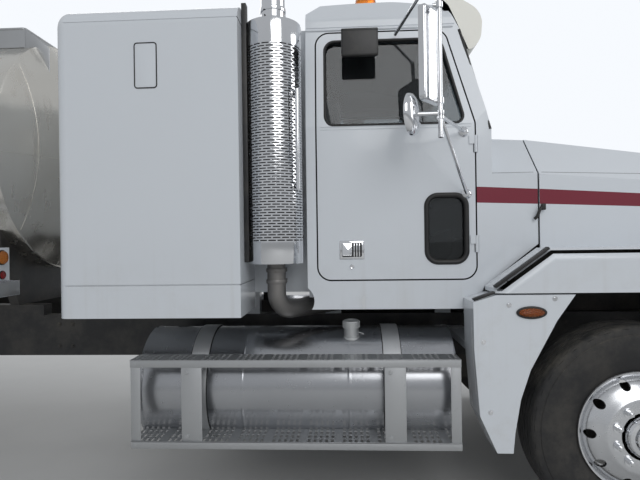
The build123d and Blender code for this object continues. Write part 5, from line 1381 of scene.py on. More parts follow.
head_model, glass_model = make_head()
for name, side in SIDES:
    body = f"{name}_door"
    x, y = MIRROR_X, side * MIRROR_Y
    face = side * CAB_HALF
    frame_tubes = [
        tube([(x, y, 1.960), (x, y, 2.760)], 0.0110, resolution=5),
        tube([(x, y, 2.750), (behind(1.150), side * 0.940, 2.604)], 0.009, resolution=4),
        tube([(x, y, 2.060), (behind(0.800), face + side * 0.014, 2.060)], 0.009, resolution=4),
        tube([(x, y, 2.060), (behind(0.790), face + side * 0.014, 1.730)], 0.009, resolution=4),
        tube([(x - 0.030, y, 2.130), (x, y, 2.130)], 0.009, resolution=4),
        tube([(x - 0.030, y, 2.570), (x, y, 2.570)], 0.009, resolution=4),
        tube([(x - 0.120, y, 2.071), (x, y, 2.071)], 0.010, resolution=4),
    ]
    for z in (2.060, 2.130, 2.570, 2.071):
        frame_tubes.append(lathe(
            ((-0.013, 0.011), (-0.013, 0.0175), (0.013, 0.0175), (0.013, 0.011)),
            (x, y, z), (0, 0, 1), (1, 0, 0), steps=24,
        ))
    for z in (1.960, 2.760):
        way = -1 if z < 2 else 1
        frame_tubes.append(lathe(((-0.012, 0.0125), (-0.001, 0.0125), (0.0, 0.011), (0.0, 0.0004)),
                                 (x, y, z), (0, 0, way), (1, 0, 0), steps=20))
    for distance, z in ((0.800, 2.060), (0.790, 1.730)):
        frame_tubes.append(lathe(
            ((0.0003, 0.026), (0.006, 0.026), (0.010, 0.022), (0.020, 0.012), (0.022, 0.0004)),
            (behind(distance), face, z), (0, side, 0), (0, 0, 1), steps=28,
        ))
    done(join(frame_tubes), f"mirror_frame_{name}", body, chrome,
         [f"mirrors_{name}"], sharp=40)

    turn = Matrix.Rotation(radians(side * MIRROR_TURN[side]), 4, "Z")
    place = Matrix.Translation((MIRROR_HEAD.x, y - side * 0.040, MIRROR_HEAD.z)) @ turn
    done(copied(head_model, place), f"mirror_head_{name}", body, chrome, sharp=35)
    done(copied(glass_model, place), f"mirror_glass_{name}", body, mirror_silver)

    # Round mirror: a spun bowl with a domed glass behind, turned in like the tall one
    aim = radians(side * 26.0)
    round_axis = (cos(aim), sin(aim), 0)
    bowl = lathe(
        ((0.018, 0.0004), (0.0175, 0.030), (0.013, 0.066), (0.002, 0.092), (-0.010, 0.0990),
         (-0.0175, 0.1000), (-0.018, 0.0975), (-0.014, 0.0945)),
        (x - 0.120, y, 2.071), round_axis, (0, 0, 1), steps=56,
    )
    done(bowl, f"round_mirror_{name}", body, chrome, sharp=40)
    dome = lathe(
        ((-0.0140, 0.0955), (-0.0155, 0.080), (-0.0168, 0.050), (-0.0175, 0.020),
         (-0.0176, 0.0004)),
        (x - 0.120, y, 2.071), round_axis, (0, 0, 1), steps=56,
    )
    done(dome, f"round_mirror_glass_{name}", body, mirror_silver, sharp=40)

    # The mirror over the door that looks down: a black hood on the window's frame
    low_y, high_y = sorted((side * 0.9185, side * 1.060))
    roof = block((behind(1.442), low_y, 2.584), (behind(1.249), high_y, 2.600), 0.006, 3)
    low_y, high_y = sorted((side * 1.030, side * 1.060))
    shade = block((behind(1.442), low_y, 2.455), (behind(1.249), high_y, 2.594), 0.010, 4)
    done(join([roof, shade]), f"look_down_mirror_{name}", body, black_paint, sharp=40)
bpy.data.objects.remove(head_model, do_unlink=True)
bpy.data.objects.remove(glass_model, do_unlink=True)
print("Mirrors set")
# %% [markdown]
# ## Sun visor
# The visor over the windshield is a moulded shell with closed ends. Its side view is filled and
# extruded across the cab, its corners are rounded, the faces on the windshield's side are taken
# away, and the rest is given the thickness of moulded plastic.

# %% Visor shell
VISOR_HALF = 0.880
VISOR_SIDE = (
    (0.904, 2.836), (0.811, 2.831), (0.702, 2.765), (0.666, 2.705), (0.675, 2.590),
    (0.729, 2.526), (0.770, 2.545), (0.792, 2.655), (0.858, 2.800), (0.904, 2.812),
)
visor = plate([(behind(d), -VISOR_HALF, z) for d, z in VISOR_SIDE], (0, 2 * VISOR_HALF, 0),
              corner=0.030, segments=6)
only(visor)
edit("FACE")
pick(lambda centre, normal: normal.x < -0.55 and centre.x < behind(0.74)
     and abs(normal.y) < 0.5)
bpy.ops.mesh.delete(type="FACE")
clear()
apply_modifier(visor, "SOLIDIFY", thickness=0.005, offset=-1)
struts = []
for y in (-0.62, 0.0, 0.62):
    struts.append(tube([(behind(0.705), y, 2.756), (behind(0.856), y, 2.776)], 0.007, resolution=4))
done(visor, "visor_shell", "chassis", visor_plastic, ["sun_visor"], sharp=40)
done(join(struts), "visor_struts", "chassis", chrome)
print("Visor set")

# %% [markdown]
# ## Fuel tanks
# A truck's fuel tank is a rolled aluminium cylinder whose pressed ends are rolled over at the
# rim. It is one lathe profile. The filler neck leans out, with a knurled cap: the cap's side
# faces are extruded by turns to make its grip.

# %% Tanks and caps
FUEL_REAR, FUEL_FRONT = 2.527, 0.873
FUEL_Y, FUEL_Z, FUEL_RADIUS = 0.829, 0.704, 0.305
FUEL_LENGTH = FUEL_REAR - FUEL_FRONT
FUEL_END = (
    (0.020, 0.0004), (0.019, 0.060), (0.014, 0.140), (0.006, 0.215), (0.004, 0.262),
    (0.0035, 0.286), (0.0010, 0.2965), (0.0000, 0.3010), (0.0020, 0.3042), (0.0070, 0.3050),
    (0.0200, 0.3050), (0.0240, 0.3040), (0.0262, 0.3028), (0.0300, 0.3028), (0.0420, 0.3028),
)
SEAM = ((0.538, 0.3028), (0.546, 0.3028), (0.548, 0.3036), (0.552, 0.3036), (0.554, 0.3028),
        (0.562, 0.3028))
CAP_STEPS = 36
fuel_profile = (
    list(FUEL_END) + list(SEAM)
    + [(FUEL_LENGTH - along, radius) for along, radius in reversed(SEAM)]
    + [(FUEL_LENGTH - along, radius) for along, radius in reversed(FUEL_END)]
)
for name, side in SIDES:
    tank = lathe(fuel_profile, (behind(FUEL_REAR), side * FUEL_Y, FUEL_Z), (1, 0, 0), (0, 0, 1),
                 steps=96)
    done(tank, f"fuel_tank_{name}", "chassis", fuel_metal,
         ["fuel_tanks"] if side < 0 else [], sharp=40)
    foot = Vector((behind(1.409), side * 0.945, 0.962))
    lean = Vector((0, side * 0.010, 0.105)).normalized()
    neck = lathe(((0.0, 0.052), (0.012, 0.050), (0.016, 0.040), (0.066, 0.040)), foot, lean,
                 (1, 0, 0), steps=40)
    cap = lathe(((0.060, 0.041), (0.060, 0.0445), (0.092, 0.0445), (0.0965, 0.040),
                 (0.0975, 0.028), (0.0955, 0.026), (0.0955, 0.0004)), foot, lean, (1, 0, 0),
                steps=CAP_STEPS)
    only(cap)
    edit("FACE")

    def grip(centre, normal):
        along = (centre - foot).dot(lean)
        arm = centre - foot - lean * along
        angle = degrees(atan2(arm.dot(lean.cross(Vector((1, 0, 0)))), arm.x)) + 360.0
        number = round(angle * CAP_STEPS / 360.0 - 0.5)
        return 0.062 < along < 0.090 and arm.length > 0.0435 and number % 2 == 0

    pick(grip)
    bpy.ops.mesh.extrude_region_shrink_fatten(TRANSFORM_OT_shrink_fatten={"value": 0.0022})
    clear()
    loop = tube([foot + lean * 0.03 + Vector((0.040, 0, 0)), foot + lean * 0.02 + Vector((0.07, 0, 0)),
                 foot + Vector((0.075, side * 0.030, -0.015))], 0.0022, corner=0.01)
    done(join([neck, cap, loop]), f"filler_cap_{name}", "chassis", grey_cap,
         sharp=25)
print("Fuel tanks set")

# %% [markdown]
# ## Steps and straps
# The steps are two perforated treads in a frame of flat bar. A tread is a grid whose cells are
# inset one by one and opened, then thickened, so that one sees through it. The straps are rings
# round the tank on a rubber lining, each closed by a bracket that comes out from the rail, cut
# to the tank's shape with a Boolean.

# %% Treads, rails, drops and straps
STEP_OUT = 1.235
UPPER_TOP, LOWER_LOW, RAIL_TALL = 0.910, 0.468, 0.038
STEP_FRONT, STEP_REAR = 0.883, 2.517
STRAPS = (1.200, 2.208)
STRAP_WIDTH, DROP_WIDTH, END_WIDTH = 0.090, 0.105, 0.050


def tread(side, top, inner):
    """A perforated plate, its top at a height, from the rail in to a distance."""
    length, depth = STEP_REAR - STEP_FRONT, STEP_OUT - inner
    columns, rows = 56, 4
    clear()
    bpy.ops.mesh.primitive_grid_add(
        x_subdivisions=columns, y_subdivisions=rows, size=1,
        location=((behind(STEP_REAR) + behind(STEP_FRONT)) / 2, side * (STEP_OUT + inner) / 2, top),
    )
    sheet = bpy.context.object
    sheet.scale = (length, depth, 1)
    bpy.ops.object.transform_apply(location=True, rotation=True, scale=True)
    cell = length / columns

    def punched(centre, normal):
        column = int((centre.x - behind(STEP_REAR)) / cell)
        return column % 6 != 5

    only(sheet)
    edit("FACE")
    pick(punched)
    bpy.ops.mesh.inset(thickness=0.0075, depth=0.0, use_individual=True)
    bpy.ops.mesh.delete(type="FACE")
    clear()
    apply_modifier(sheet, "SOLIDIFY", thickness=0.0035, offset=-1)
    lip = block((behind(STEP_REAR), side * inner, top - 0.022),
                (behind(STEP_FRONT), side * (inner + 0.004), top), 0.001, 1)
    return join([sheet, lip])


for name, side in SIDES:
    face = side * STEP_OUT
    pieces = [tread(side, UPPER_TOP - 0.001, 1.105), tread(side, LOWER_LOW + RAIL_TALL - 0.001, 1.020)]
    for top in (UPPER_TOP, LOWER_LOW + RAIL_TALL):
        pieces.append(block((behind(STEP_REAR), face, top - RAIL_TALL),
                            (behind(STEP_FRONT), face - side * 0.006, top), 0.002))
        for distance in (STEP_REAR - 0.024, STEP_REAR - 0.5, 1.70, STEP_FRONT + 0.5, STEP_FRONT + 0.024):
            pieces.append(bolt((behind(distance), face - side * 0.0005, top - RAIL_TALL / 2),
                               (0, side, 0), 0.0075, 0.0005 + 0.0004))
    for distance in STRAPS:
        x = behind(distance)
        pieces.append(block((x - DROP_WIDTH / 2, face - side * 0.006, LOWER_LOW + 0.004),
                            (x + DROP_WIDTH / 2, face - side * 0.012, UPPER_TOP - 0.004), 0.003))
        for z in (LOWER_LOW + 0.060, UPPER_TOP - 0.065):
            pieces.append(bolt((x - 0.024, face - side * 0.006, z), (0, side, 0), 0.0085, 0.0055))
        pieces.append(block((x - STRAP_WIDTH / 2, face - side * 0.008, UPPER_TOP - 0.060),
                            (x + STRAP_WIDTH / 2, side * 1.090, UPPER_TOP - 0.044), 0.002))
    for end in (STEP_REAR - END_WIDTH / 2, STEP_FRONT + END_WIDTH / 2):
        x = behind(end)
        pieces.append(block((x - END_WIDTH / 2, face - side * 0.006, LOWER_LOW + 0.004),
                            (x + END_WIDTH / 2, face - side * 0.011, UPPER_TOP - 0.004), 0.003))
    done(join(pieces), f"side_step_{name}", "chassis", step_aluminium,
         ["side_steps"] if side < 0 else [], sharp=30)
    bands, linings = [], []
    for distance in STRAPS:
        x = behind(distance)
        at = (x, side * FUEL_Y, FUEL_Z)
        half = STRAP_WIDTH / 2
        bands.append(lathe(
            ((-half, 0.3066), (-half, 0.3100), (-half + 0.003, 0.3105), (half - 0.003, 0.3105),
             (half, 0.3100), (half, 0.3066)),
            at, (1, 0, 0), (0, 0, 1), steps=96))
        linings.append(lathe(((-half - 0.004, 0.3052), (-half - 0.004, 0.3072),
                              (half + 0.004, 0.3072), (half + 0.004, 0.3052)),
                             at, (1, 0, 0), (0, 0, 1), steps=96))
        low_y, high_y = sorted((side * 0.8325, side * 0.4255))
        bracket = block((x - half, low_y, FUEL_Z - 0.165), (x + half, high_y, FUEL_Z + 0.165), 0.004)
        clear()
        bpy.ops.mesh.primitive_cylinder_add(vertices=96, radius=0.3053, depth=0.4, location=at,
                                            rotation=(0, radians(90), 0))
        cutter = bpy.context.object
        apply_modifier(bracket, "BOOLEAN", operation="DIFFERENCE", object=cutter, solver="EXACT")
        bpy.data.objects.remove(cutter, do_unlink=True)
        bands.append(bracket)
        bands.append(bolt((x, side * 0.620, FUEL_Z + 0.165), (0, 0, 1), 0.012, 0.012))
    done(join(bands), f"tank_straps_{name}", "chassis", strap_metal, sharp=35)
    done(join(linings), f"strap_linings_{name}", "chassis", gasket_rubber,
         sharp=35)
print("Steps and straps set")
# %% [markdown]
# ## Water tank
# The tank is a rolled shell between two dished heads. Each head has a rim that stands a little
# proud where it is welded on, and the shell's sheets meet in hoops, each a low weld bead. All of
# that is one lathe profile. The beads that run along the shell and over the head are tubes whose
# points lie on the surface.

# %% Shell, heads and welds
TANK_FRONT, TANK_REAR = behind(3.510), behind(8.580)
TANK_Z, TANK_RADIUS, HEAD_DEPTH_X = 2.120, 0.800, 0.270
HEAD_RADIUS = (TANK_RADIUS**2 + HEAD_DEPTH_X**2) / (2 * HEAD_DEPTH_X)
HOOPS = (-1.10, -2.55, -3.10, -4.00)
RIM = 0.004


def head_x(away):
    """How far the head stands out of the shell's end, at a distance from the tank's axis."""
    return HEAD_DEPTH_X - HEAD_RADIUS + sqrt(HEAD_RADIUS**2 - away**2)


tank_profile = []
for number in range(14):
    away = 0.792 * number / 13 + 0.0004
    tank_profile.append((TANK_FRONT + head_x(min(away, 0.799)), away))
tank_profile += [
    (TANK_FRONT + 0.003, 0.7985), (TANK_FRONT + 0.001, TANK_RADIUS + RIM),
    (TANK_FRONT - 0.030, TANK_RADIUS + RIM), (TANK_FRONT - 0.034, TANK_RADIUS),
    (TANK_FRONT - 0.060, TANK_RADIUS),
]
hoop_places = [TANK_FRONT + gap for gap in HOOPS]
for x in hoop_places:
    tank_profile += [(x + 0.030, TANK_RADIUS), (x + 0.008, TANK_RADIUS),
                     (x + 0.003, TANK_RADIUS + 0.0018), (x - 0.003, TANK_RADIUS + 0.0018),
                     (x - 0.008, TANK_RADIUS), (x - 0.030, TANK_RADIUS)]
tank_profile += [
    (TANK_REAR + 0.060, TANK_RADIUS), (TANK_REAR + 0.034, TANK_RADIUS), (TANK_REAR + 0.030, TANK_RADIUS + RIM),
    (TANK_REAR - 0.001, TANK_RADIUS + RIM), (TANK_REAR - 0.003, 0.7985),
]
for number in range(13, -1, -1):
    away = 0.792 * number / 13 + 0.0004
    tank_profile.append((TANK_REAR - head_x(away), away))
shell = lathe(tank_profile, (0, 0, TANK_Z), (1, 0, 0), (0, 0, 1), steps=128)
done(shell, "tank_shell", "chassis", stainless, ["water_tank"], sharp=35)


def over_head(y, z):
    return (TANK_FRONT + head_x(min(sqrt(y * y + (z - TANK_Z) ** 2), 0.799)) + 0.0004, y, z)


LEVEL_SEAM_Z = 2.055
UPRIGHT_SEAM_Y = 0.580
welds = [tube([over_head(-0.780 + 0.060 * step, LEVEL_SEAM_Z) for step in range(27)], 0.0018)]
for side in (-1, 1):
    welds.append(tube([over_head(side * UPRIGHT_SEAM_Y, 1.590 + 0.053 * step)
                       for step in range(21)], 0.0016))
    for start, end, turn in ((TANK_FRONT - 0.04, hoop_places[0], 68), (hoop_places[0], hoop_places[1], 96),
                             (hoop_places[1], hoop_places[3], 74), (hoop_places[3], TANK_REAR + 0.04, 100)):
        y = side * TANK_RADIUS * sin(radians(turn))
        z = TANK_Z + TANK_RADIUS * cos(radians(turn))
        welds.append(tube([(start, y, z), (end, y, z)], 0.0024))
done(join(welds), "tank_welds", "chassis", stainless, sharp=60)
print("Tank set")

# %% [markdown]
# The coaming on top gets a rolled edge, a sloping gusset at each front corner and drain pipes at
# the rear. The manhole lid is held by swing bolts, each an eye bolt with a wing nut.

# %% Coaming, gussets and lid fittings
COAMING_Y, COAMING_TOP = 0.380, 2.960
COAMING_FRONT, COAMING_REAR = behind(3.580), behind(8.440)
edge_z = COAMING_TOP - 0.004
rim_loop = tube(
    [(COAMING_REAR + 0.006, -COAMING_Y + 0.004, edge_z), (COAMING_FRONT - 0.006, -COAMING_Y + 0.004, edge_z),
     (COAMING_FRONT - 0.006, COAMING_Y - 0.004, edge_z), (COAMING_REAR + 0.006, COAMING_Y - 0.004, edge_z)],
    0.009, closed=True, corner=0.02, resolution=4,
)
top_pieces = [rim_loop]
GUSSET = ((3.583, 2.956), (3.415, 2.818), (3.415, 2.640), (3.470, 2.752), (3.512, 2.822),
          (3.583, 2.822))
for side in (-1, 1):
    top_pieces.append(plate([(behind(d), side * 0.374, z) for d, z in GUSSET], (0, side * 0.006, 0),
                            bevel=0.0015))
    for x in (TANK_REAR + 0.25, TANK_FRONT - 1.9):
        drain_top = Vector((x, side * COAMING_Y, 2.850))
        points = [drain_top]
        for turn in (30, 40, 50, 60, 70, 80, 90):
            points.append(Vector((x, side * 0.816 * sin(radians(turn)),
                                  TANK_Z + 0.816 * cos(radians(turn)))))
        points.append(Vector((x, side * 0.816, 1.62)))
        top_pieces.append(tube(points, 0.014, resolution=4))
done(join(top_pieces), "coaming_edge", "chassis", step_aluminium, sharp=40)

MANHOLE_X, MANHOLE_RADIUS, MANHOLE_TOP = behind(6.000), 0.255, 2.990
low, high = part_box("manhole_lid")
lid_low, lid_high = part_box("manhole_collar")
swing_bolts = []
for turn in (40, 90, 140, 220, 270, 320):
    way = Vector((cos(radians(turn)), sin(radians(turn)), 0))
    if way.x < -0.9:
        continue
    centre = Vector((MANHOLE_X, 0, 0)) + way * (MANHOLE_RADIUS + 0.011)
    swing_bolts.append(tube([centre + Vector((0, 0, MANHOLE_TOP - 0.052)),
                             centre + Vector((0, 0, MANHOLE_TOP - 0.004))], 0.006, resolution=4))
    swing_bolts.append(block(centre + way * 0.004 + Vector((-0.014, -0.014, MANHOLE_TOP - 0.062)),
                             centre + way * 0.010 + Vector((0.014, 0.014, MANHOLE_TOP - 0.036)),
                             0.003))
done(join(swing_bolts), "manhole_bolts", "chassis", step_aluminium)
handle = tube([(MANHOLE_X + 0.13, -0.06, 3.0015), (MANHOLE_X + 0.13, -0.06, 3.016),
               (MANHOLE_X + 0.13, 0.06, 3.016), (MANHOLE_X + 0.13, 0.06, 3.0015)],
              0.005, corner=0.008, resolution=4)
done(handle, "manhole_handle", "tank_lid", step_aluminium)
print("Coaming and manhole dressed, lid top at", round(high.z, 3))

# %% [markdown]
# Beside the front of the tank a pale plate on the end of each hose tray carries two lamps, an
# amber one over a small red one. Each lamp is a lathe dome in a rubber ring.


# %% Round lamps, and the lamp plates
def round_lamp(place, axis, radius, depth, lens, name, body="chassis", rings=3):
    """A lens with stepped rings, in a rubber ring."""
    across = (0, 0, 1) if abs(Vector(axis).z) < 0.5 else (1, 0, 0)
    profile = [(0.001, radius)]
    profile.append((depth * 0.55, radius * 0.985))
    for ring in range(rings):
        out = radius * (0.9 - 0.28 * ring)
        profile.append((depth * (0.80 + 0.07 * ring), out))
        profile.append((depth * (0.76 + 0.07 * ring), out * 0.94))
    profile.append((depth, 0.0004))
    dome = lathe(profile, place, axis, across, steps=40)
    done(dome, f"{name}_lens", body, lens, sharp=25)
    ring_piece = lathe(
        ((0.0002, radius * 1.02), (0.0002, radius * 1.16), (0.005, radius * 1.16),
         (0.008, radius * 1.10), (0.008, radius * 1.0)),
        place, axis, across, steps=40,
    )
    done(ring_piece, f"{name}_ring", body, gasket_rubber, sharp=40)


PLATE_X = behind(3.434)
for name, side in SIDES:
    cover = block((PLATE_X - 0.0065, side * 0.928, 1.262), (PLATE_X + 0.0012, side * 0.792, 1.476), 0.002)
    foot = block((PLATE_X - 0.0065, side * 0.968, 1.222), (PLATE_X + 0.0010, side * 0.902, 1.256), 0.002)
    done(join([cover, foot]), f"lamp_plate_{name}", "chassis", white_paint)
    round_lamp((PLATE_X + 0.0012, side * 0.860, 1.420), (1, 0, 0), 0.038, 0.024, amber_lens,
               f"side_marker_{name}")
    round_lamp((PLATE_X + 0.0012, side * 0.860, 1.318), (1, 0, 0), 0.022, 0.016, red_lens,
               f"side_reflector_{name}", rings=2)
    end = block((behind(3.2595), side * 0.962, 1.217), (behind(3.2625), side * 1.188, 1.293), 0.002)
    done(end, f"tray_end_{name}", "chassis", grey_paint)
print("Lamp plates set")
# %% [markdown]
# ## Painted shade inside
# The cab, the sleeper and the doors are painted outside, and their inner faces are near black: a
# painted shade for the dark inside of the cab. The node is one solid, so its inner faces get a
# second material slot: those that look towards a point in the middle of the cab. A ray cast on a
# node finds where a fitting is to be seated on it.


# %% Painted shade on inner faces
def darkened(node, finish, inner):
    """Give the faces of a node that a test picks a second finish."""
    solid = nodes[node]
    solid.data.materials.append(finish)
    slot = len(solid.data.materials) - 1
    count = 0
    for face in solid.data.polygons:
        if inner(face.center, face.normal):
            face.material_index = slot
            count += 1
    return count


def seat_on(node, start, direction):
    """The point of a node's surface that is first met from a start, or None."""
    found, place, normal, face = nodes[node].ray_cast(Vector(start), Vector(direction).normalized())
    return place if found else None


CAB_HEART = Vector((behind(1.05), 0, 1.95))
SLEEPER_HEART = Vector((behind(2.43), 0, 1.90))
# Painted shade: the inner faces of cab, sleeper and doors take the near-black finish.
count = darkened("cab_shell", inner_shade_and_dial_black, lambda centre, normal: normal.dot(CAB_HEART - centre) > 0)
count += darkened("sleeper_shell", inner_shade_and_dial_black,
               lambda centre, normal: normal.dot(SLEEPER_HEART - centre) > 0)
for name, side in SIDES:
    count += darkened(f"door_{name}", inner_shade_and_dial_black,
                   lambda centre, normal: normal.y * side < -0.35)
print("Inner faces lined:", count)

# %% [markdown]
# ## Padded seats and mattress
# A seat cushion is stuffed, so it starts as a form a little too small, is remeshed evenly, and
# swells in a short cloth simulation under pressure, with its movement capped. The sewn channels
# come afterwards, by pushing the vertices near each seam inwards.

# %% Stuffing and sewing
SWELL_FRAMES = 20


def stuffed(piece, voxel, cap):
    """Swell a closed form as a stuffed pad."""
    apply_modifier(piece, "REMESH", mode="VOXEL", voxel_size=voxel)
    start = [vertex.co.copy() for vertex in piece.data.vertices]
    bpy.context.scene.frame_set(1)
    cloth = piece.modifiers.new("cloth", "CLOTH")
    cloth.settings.use_pressure = True
    cloth.settings.uniform_pressure_force = 4.0
    cloth.settings.effector_weights.gravity = 0.0
    for frame in range(1, SWELL_FRAMES + 1):
        bpy.context.scene.frame_set(frame)
    only(piece)
    bpy.ops.object.modifier_apply(modifier="cloth")
    bpy.context.scene.frame_set(1)
    for vertex, before in zip(piece.data.vertices, start):
        moved = vertex.co - before
        if moved.length > cap:
            vertex.co = before + moved.normalized() * cap
    apply_modifier(piece, "SUBSURF", levels=1, render_levels=1)
    return piece


def sewn(piece, seams, depth=0.009, width=0.008):
    """Pull a pad in along its seams, each a function of the distance from it."""
    piece.data.update()
    moves = []
    for vertex in piece.data.vertices:
        near = min(abs(seam(vertex.co)) for seam in seams)
        moves.append(vertex.normal * -depth * exp(-((near / width) ** 2)))
    for vertex, move in zip(piece.data.vertices, moves):
        vertex.co += move
    return piece


SEAT_Y, SEAT_HALF = 0.480, 0.232
CUSHION_LOW, CUSHION_TOP = 1.594, 1.690
CUSHION_REAR, CUSHION_FRONT = 1.398, 1.026
BACK_SIDE = ((1.412, 1.704), (1.462, 2.150), (1.466, 2.336), (1.536, 2.336), (1.530, 2.150),
             (1.506, 1.604), (1.440, 1.604), (1.418, 1.660))
cushion = block((behind(CUSHION_REAR), -SEAT_Y - SEAT_HALF, CUSHION_LOW),
                (behind(CUSHION_FRONT), -SEAT_Y + SEAT_HALF, CUSHION_TOP), 0.028, 3)
stuffed(cushion, 0.009, 0.012)
sewn(cushion, [lambda at: at.y + SEAT_Y - 0.085, lambda at: at.y + SEAT_Y + 0.085,
               lambda at: at.y + SEAT_Y, lambda at: (at.x - behind(1.12)) * 1.0])
back = plate([(behind(d), -SEAT_Y - SEAT_HALF, z) for d, z in BACK_SIDE], (0, 2 * SEAT_HALF, 0),
             corner=0.012, bevel=0.016, segments=3)
stuffed(back, 0.009, 0.010)
sewn(back, [lambda at: at.y + SEAT_Y - 0.085, lambda at: at.y + SEAT_Y + 0.085,
            lambda at: at.y + SEAT_Y, lambda at: at.z - 2.150])
across = Matrix.Translation((0, 2 * SEAT_Y, 0))
pads = [(cushion, "seat_cushion_right"), (back, "seat_back_right"),
        (copied(cushion, across), "seat_cushion_left"), (copied(back, across), "seat_back_left")]
for number, (pad, name) in enumerate(pads):
    done(pad, name, "chassis", seat_fabric, ["seats"] if number == 0 else [],
         sharp=180)
bases = []
for side in (-1, 1):
    bases.append(block((behind(1.500), side * 0.480 - 0.215, 1.5805),
                       (behind(1.035), side * 0.480 + 0.215, 1.592), 0.004))
    bases.append(tube([(behind(1.10), side * 0.480 - 0.12, 1.586), (behind(1.014), side * 0.480 - 0.12, 1.586),
                       (behind(1.014), side * 0.480 + 0.12, 1.586), (behind(1.10), side * 0.480 + 0.12, 1.586)],
                      0.006, corner=0.02, resolution=4))
done(join(bases), "seat_bases", "chassis", black_paint)

MATTRESS_LOW, MATTRESS_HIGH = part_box("bunk_mattress")
SKIN = Vector((0.012, 0.012, 0.010))
mattress = block(MATTRESS_LOW + SKIN, MATTRESS_HIGH - SKIN, 0.03, 3)
stuffed(mattress, 0.016, 0.010)
QUILT = 0.19
sewn(mattress, [lambda at: (at.y % QUILT) - QUILT / 2,
                lambda at: ((at.x - MATTRESS_LOW.x) % 0.18) - 0.09], depth=0.006, width=0.010)
done(mattress, "mattress", "chassis", bunk_fabric, ["bunk_mattress"], sharp=180)
piping = []
for z in (MATTRESS_LOW.z + 0.022, MATTRESS_HIGH.z - 0.022):
    low, high = MATTRESS_LOW + SKIN * 0.35, MATTRESS_HIGH - SKIN * 0.35
    piping.append(tube([(low.x, low.y, z), (high.x, low.y, z), (high.x, high.y, z), (low.x, high.y, z)],
                       0.004, closed=True, corner=0.035, resolution=2))
done(join(piping), "mattress_piping", "chassis", seat_fabric, sharp=60)
print("Seats and mattress stuffed")

# %% [markdown]
# ## Steering wheel, gauges and pedals
# The steering wheel's rim is a tube bent to a ring. Its
# three spokes are round bars that reach from a domed hub. Gauges are short lathe forms on the
# dash, each with a ring, a dark face and a pale needle.

# %% Steering wheel
WHEEL_TILT = radians(35.0)
column_way = Vector((-cos(WHEEL_TILT), 0, sin(WHEEL_TILT)))
wheel_hub = Vector((behind(0.930), 0.480, 1.980)) + column_way * 0.020
wheel_up = Vector((sin(WHEEL_TILT), 0, cos(WHEEL_TILT)))
wheel_side = column_way.cross(wheel_up)
RIM_RADIUS, RIM_THICK = 0.230, 0.0148


def on_wheel(angle, radius, lift=0.0):
    turned = wheel_side * cos(radians(angle)) + wheel_up * sin(radians(angle))
    return wheel_hub + turned * radius + column_way * lift


rim = tube([on_wheel(7.5 * step, RIM_RADIUS) for step in range(48)], RIM_THICK, closed=True,
           resolution=5)
spokes = []
for angle in (90, 210, 330):
    arm = tube([on_wheel(angle, 0.030, 0.004), on_wheel(angle, 0.120, 0.002),
                on_wheel(angle, RIM_RADIUS - 0.006)], 0.0085, corner=0.02, resolution=4)
    spokes.append(arm)
boss = lathe(((-0.016, 0.0004), (-0.016, 0.040), (-0.006, 0.0445), (0.008, 0.0445),
              (0.014, 0.038), (0.0155, 0.020), (0.0155, 0.0004)),
             wheel_hub, column_way, wheel_up, steps=40)
done(rim, "steering_rim", "driver_wheel", interior_plastic, ["steering_wheel"],
     sharp=60)
done(join(spokes + [boss]), "steering_spokes", "driver_wheel", black_paint, sharp=40)

# %% Gauges and vents
gauge_rings, gauge_faces, needles = [], [], []
for row, z in enumerate((1.860, 1.765)):
    for column in range(5):
        y = 0.300 + 0.090 * column
        place = seat_on("cab_fittings", (behind(1.200), y, z), (1, 0, 0))
        if place is None or place.x < behind(0.80):
            continue
        gauge_rings.append(lathe(
            ((0.0, 0.037), (0.006, 0.037), (0.009, 0.034), (0.009, 0.031), (0.004, 0.030)),
            place, (-1, 0, 0), (0, 0, 1), steps=32))
        gauge_faces.append(lathe(((0.0035, 0.031), (0.004, 0.0004)), place, (-1, 0, 0), (0, 0, 1),
                                 steps=32))
        swing = radians(140 - 37 * column - 50 * row)
        tip = place + Vector((-0.0055, cos(swing) * 0.024, sin(swing) * 0.024))
        needles.append(tube([place + Vector((-0.0055, 0, 0)), tip], 0.0012, resolution=1))
        for tick in range(9):
            spread = radians(-40 + 32.5 * tick)
            out = Vector((0, cos(spread), sin(spread)))
            start = place + Vector((-0.0046, 0, 0)) + out * 0.024
            needles.append(tube([start, start + out * 0.0045], 0.0008, resolution=1))
if gauge_rings:
    done(join(gauge_rings), "gauge_rings", "chassis", chrome, sharp=40)
    done(join(gauge_faces), "gauge_faces", "chassis", inner_shade_and_dial_black, sharp=40)
    done(join(needles), "gauge_needles", "chassis", white_paint, sharp=60)
vents = []
for y in (-0.62, -0.40, -0.10, 0.10):
    place = seat_on("cab_fittings", (behind(1.200), y, 1.850), (1, 0, 0))
    if place is None or place.x < behind(0.80):
        continue
    for slat in range(5):
        z = place.z + 0.028 - 0.014 * slat
        vents.append(block((place.x - 0.006, y - 0.070, z - 0.0035),
                           (place.x + 0.001, y + 0.070, z + 0.0035), 0.001, 1))
    vents.append(tube([(place.x - 0.004, y - 0.080, 1.812), (place.x - 0.004, y + 0.080, 1.812),
                       (place.x - 0.004, y + 0.080, 1.888), (place.x - 0.004, y - 0.080, 1.888)],
                      0.004, closed=True, corner=0.012))
if vents:
    done(join(vents), "dash_vents", "chassis", black_paint, sharp=40)
print("Gauges:", len(gauge_rings), "vents:", len(vents))

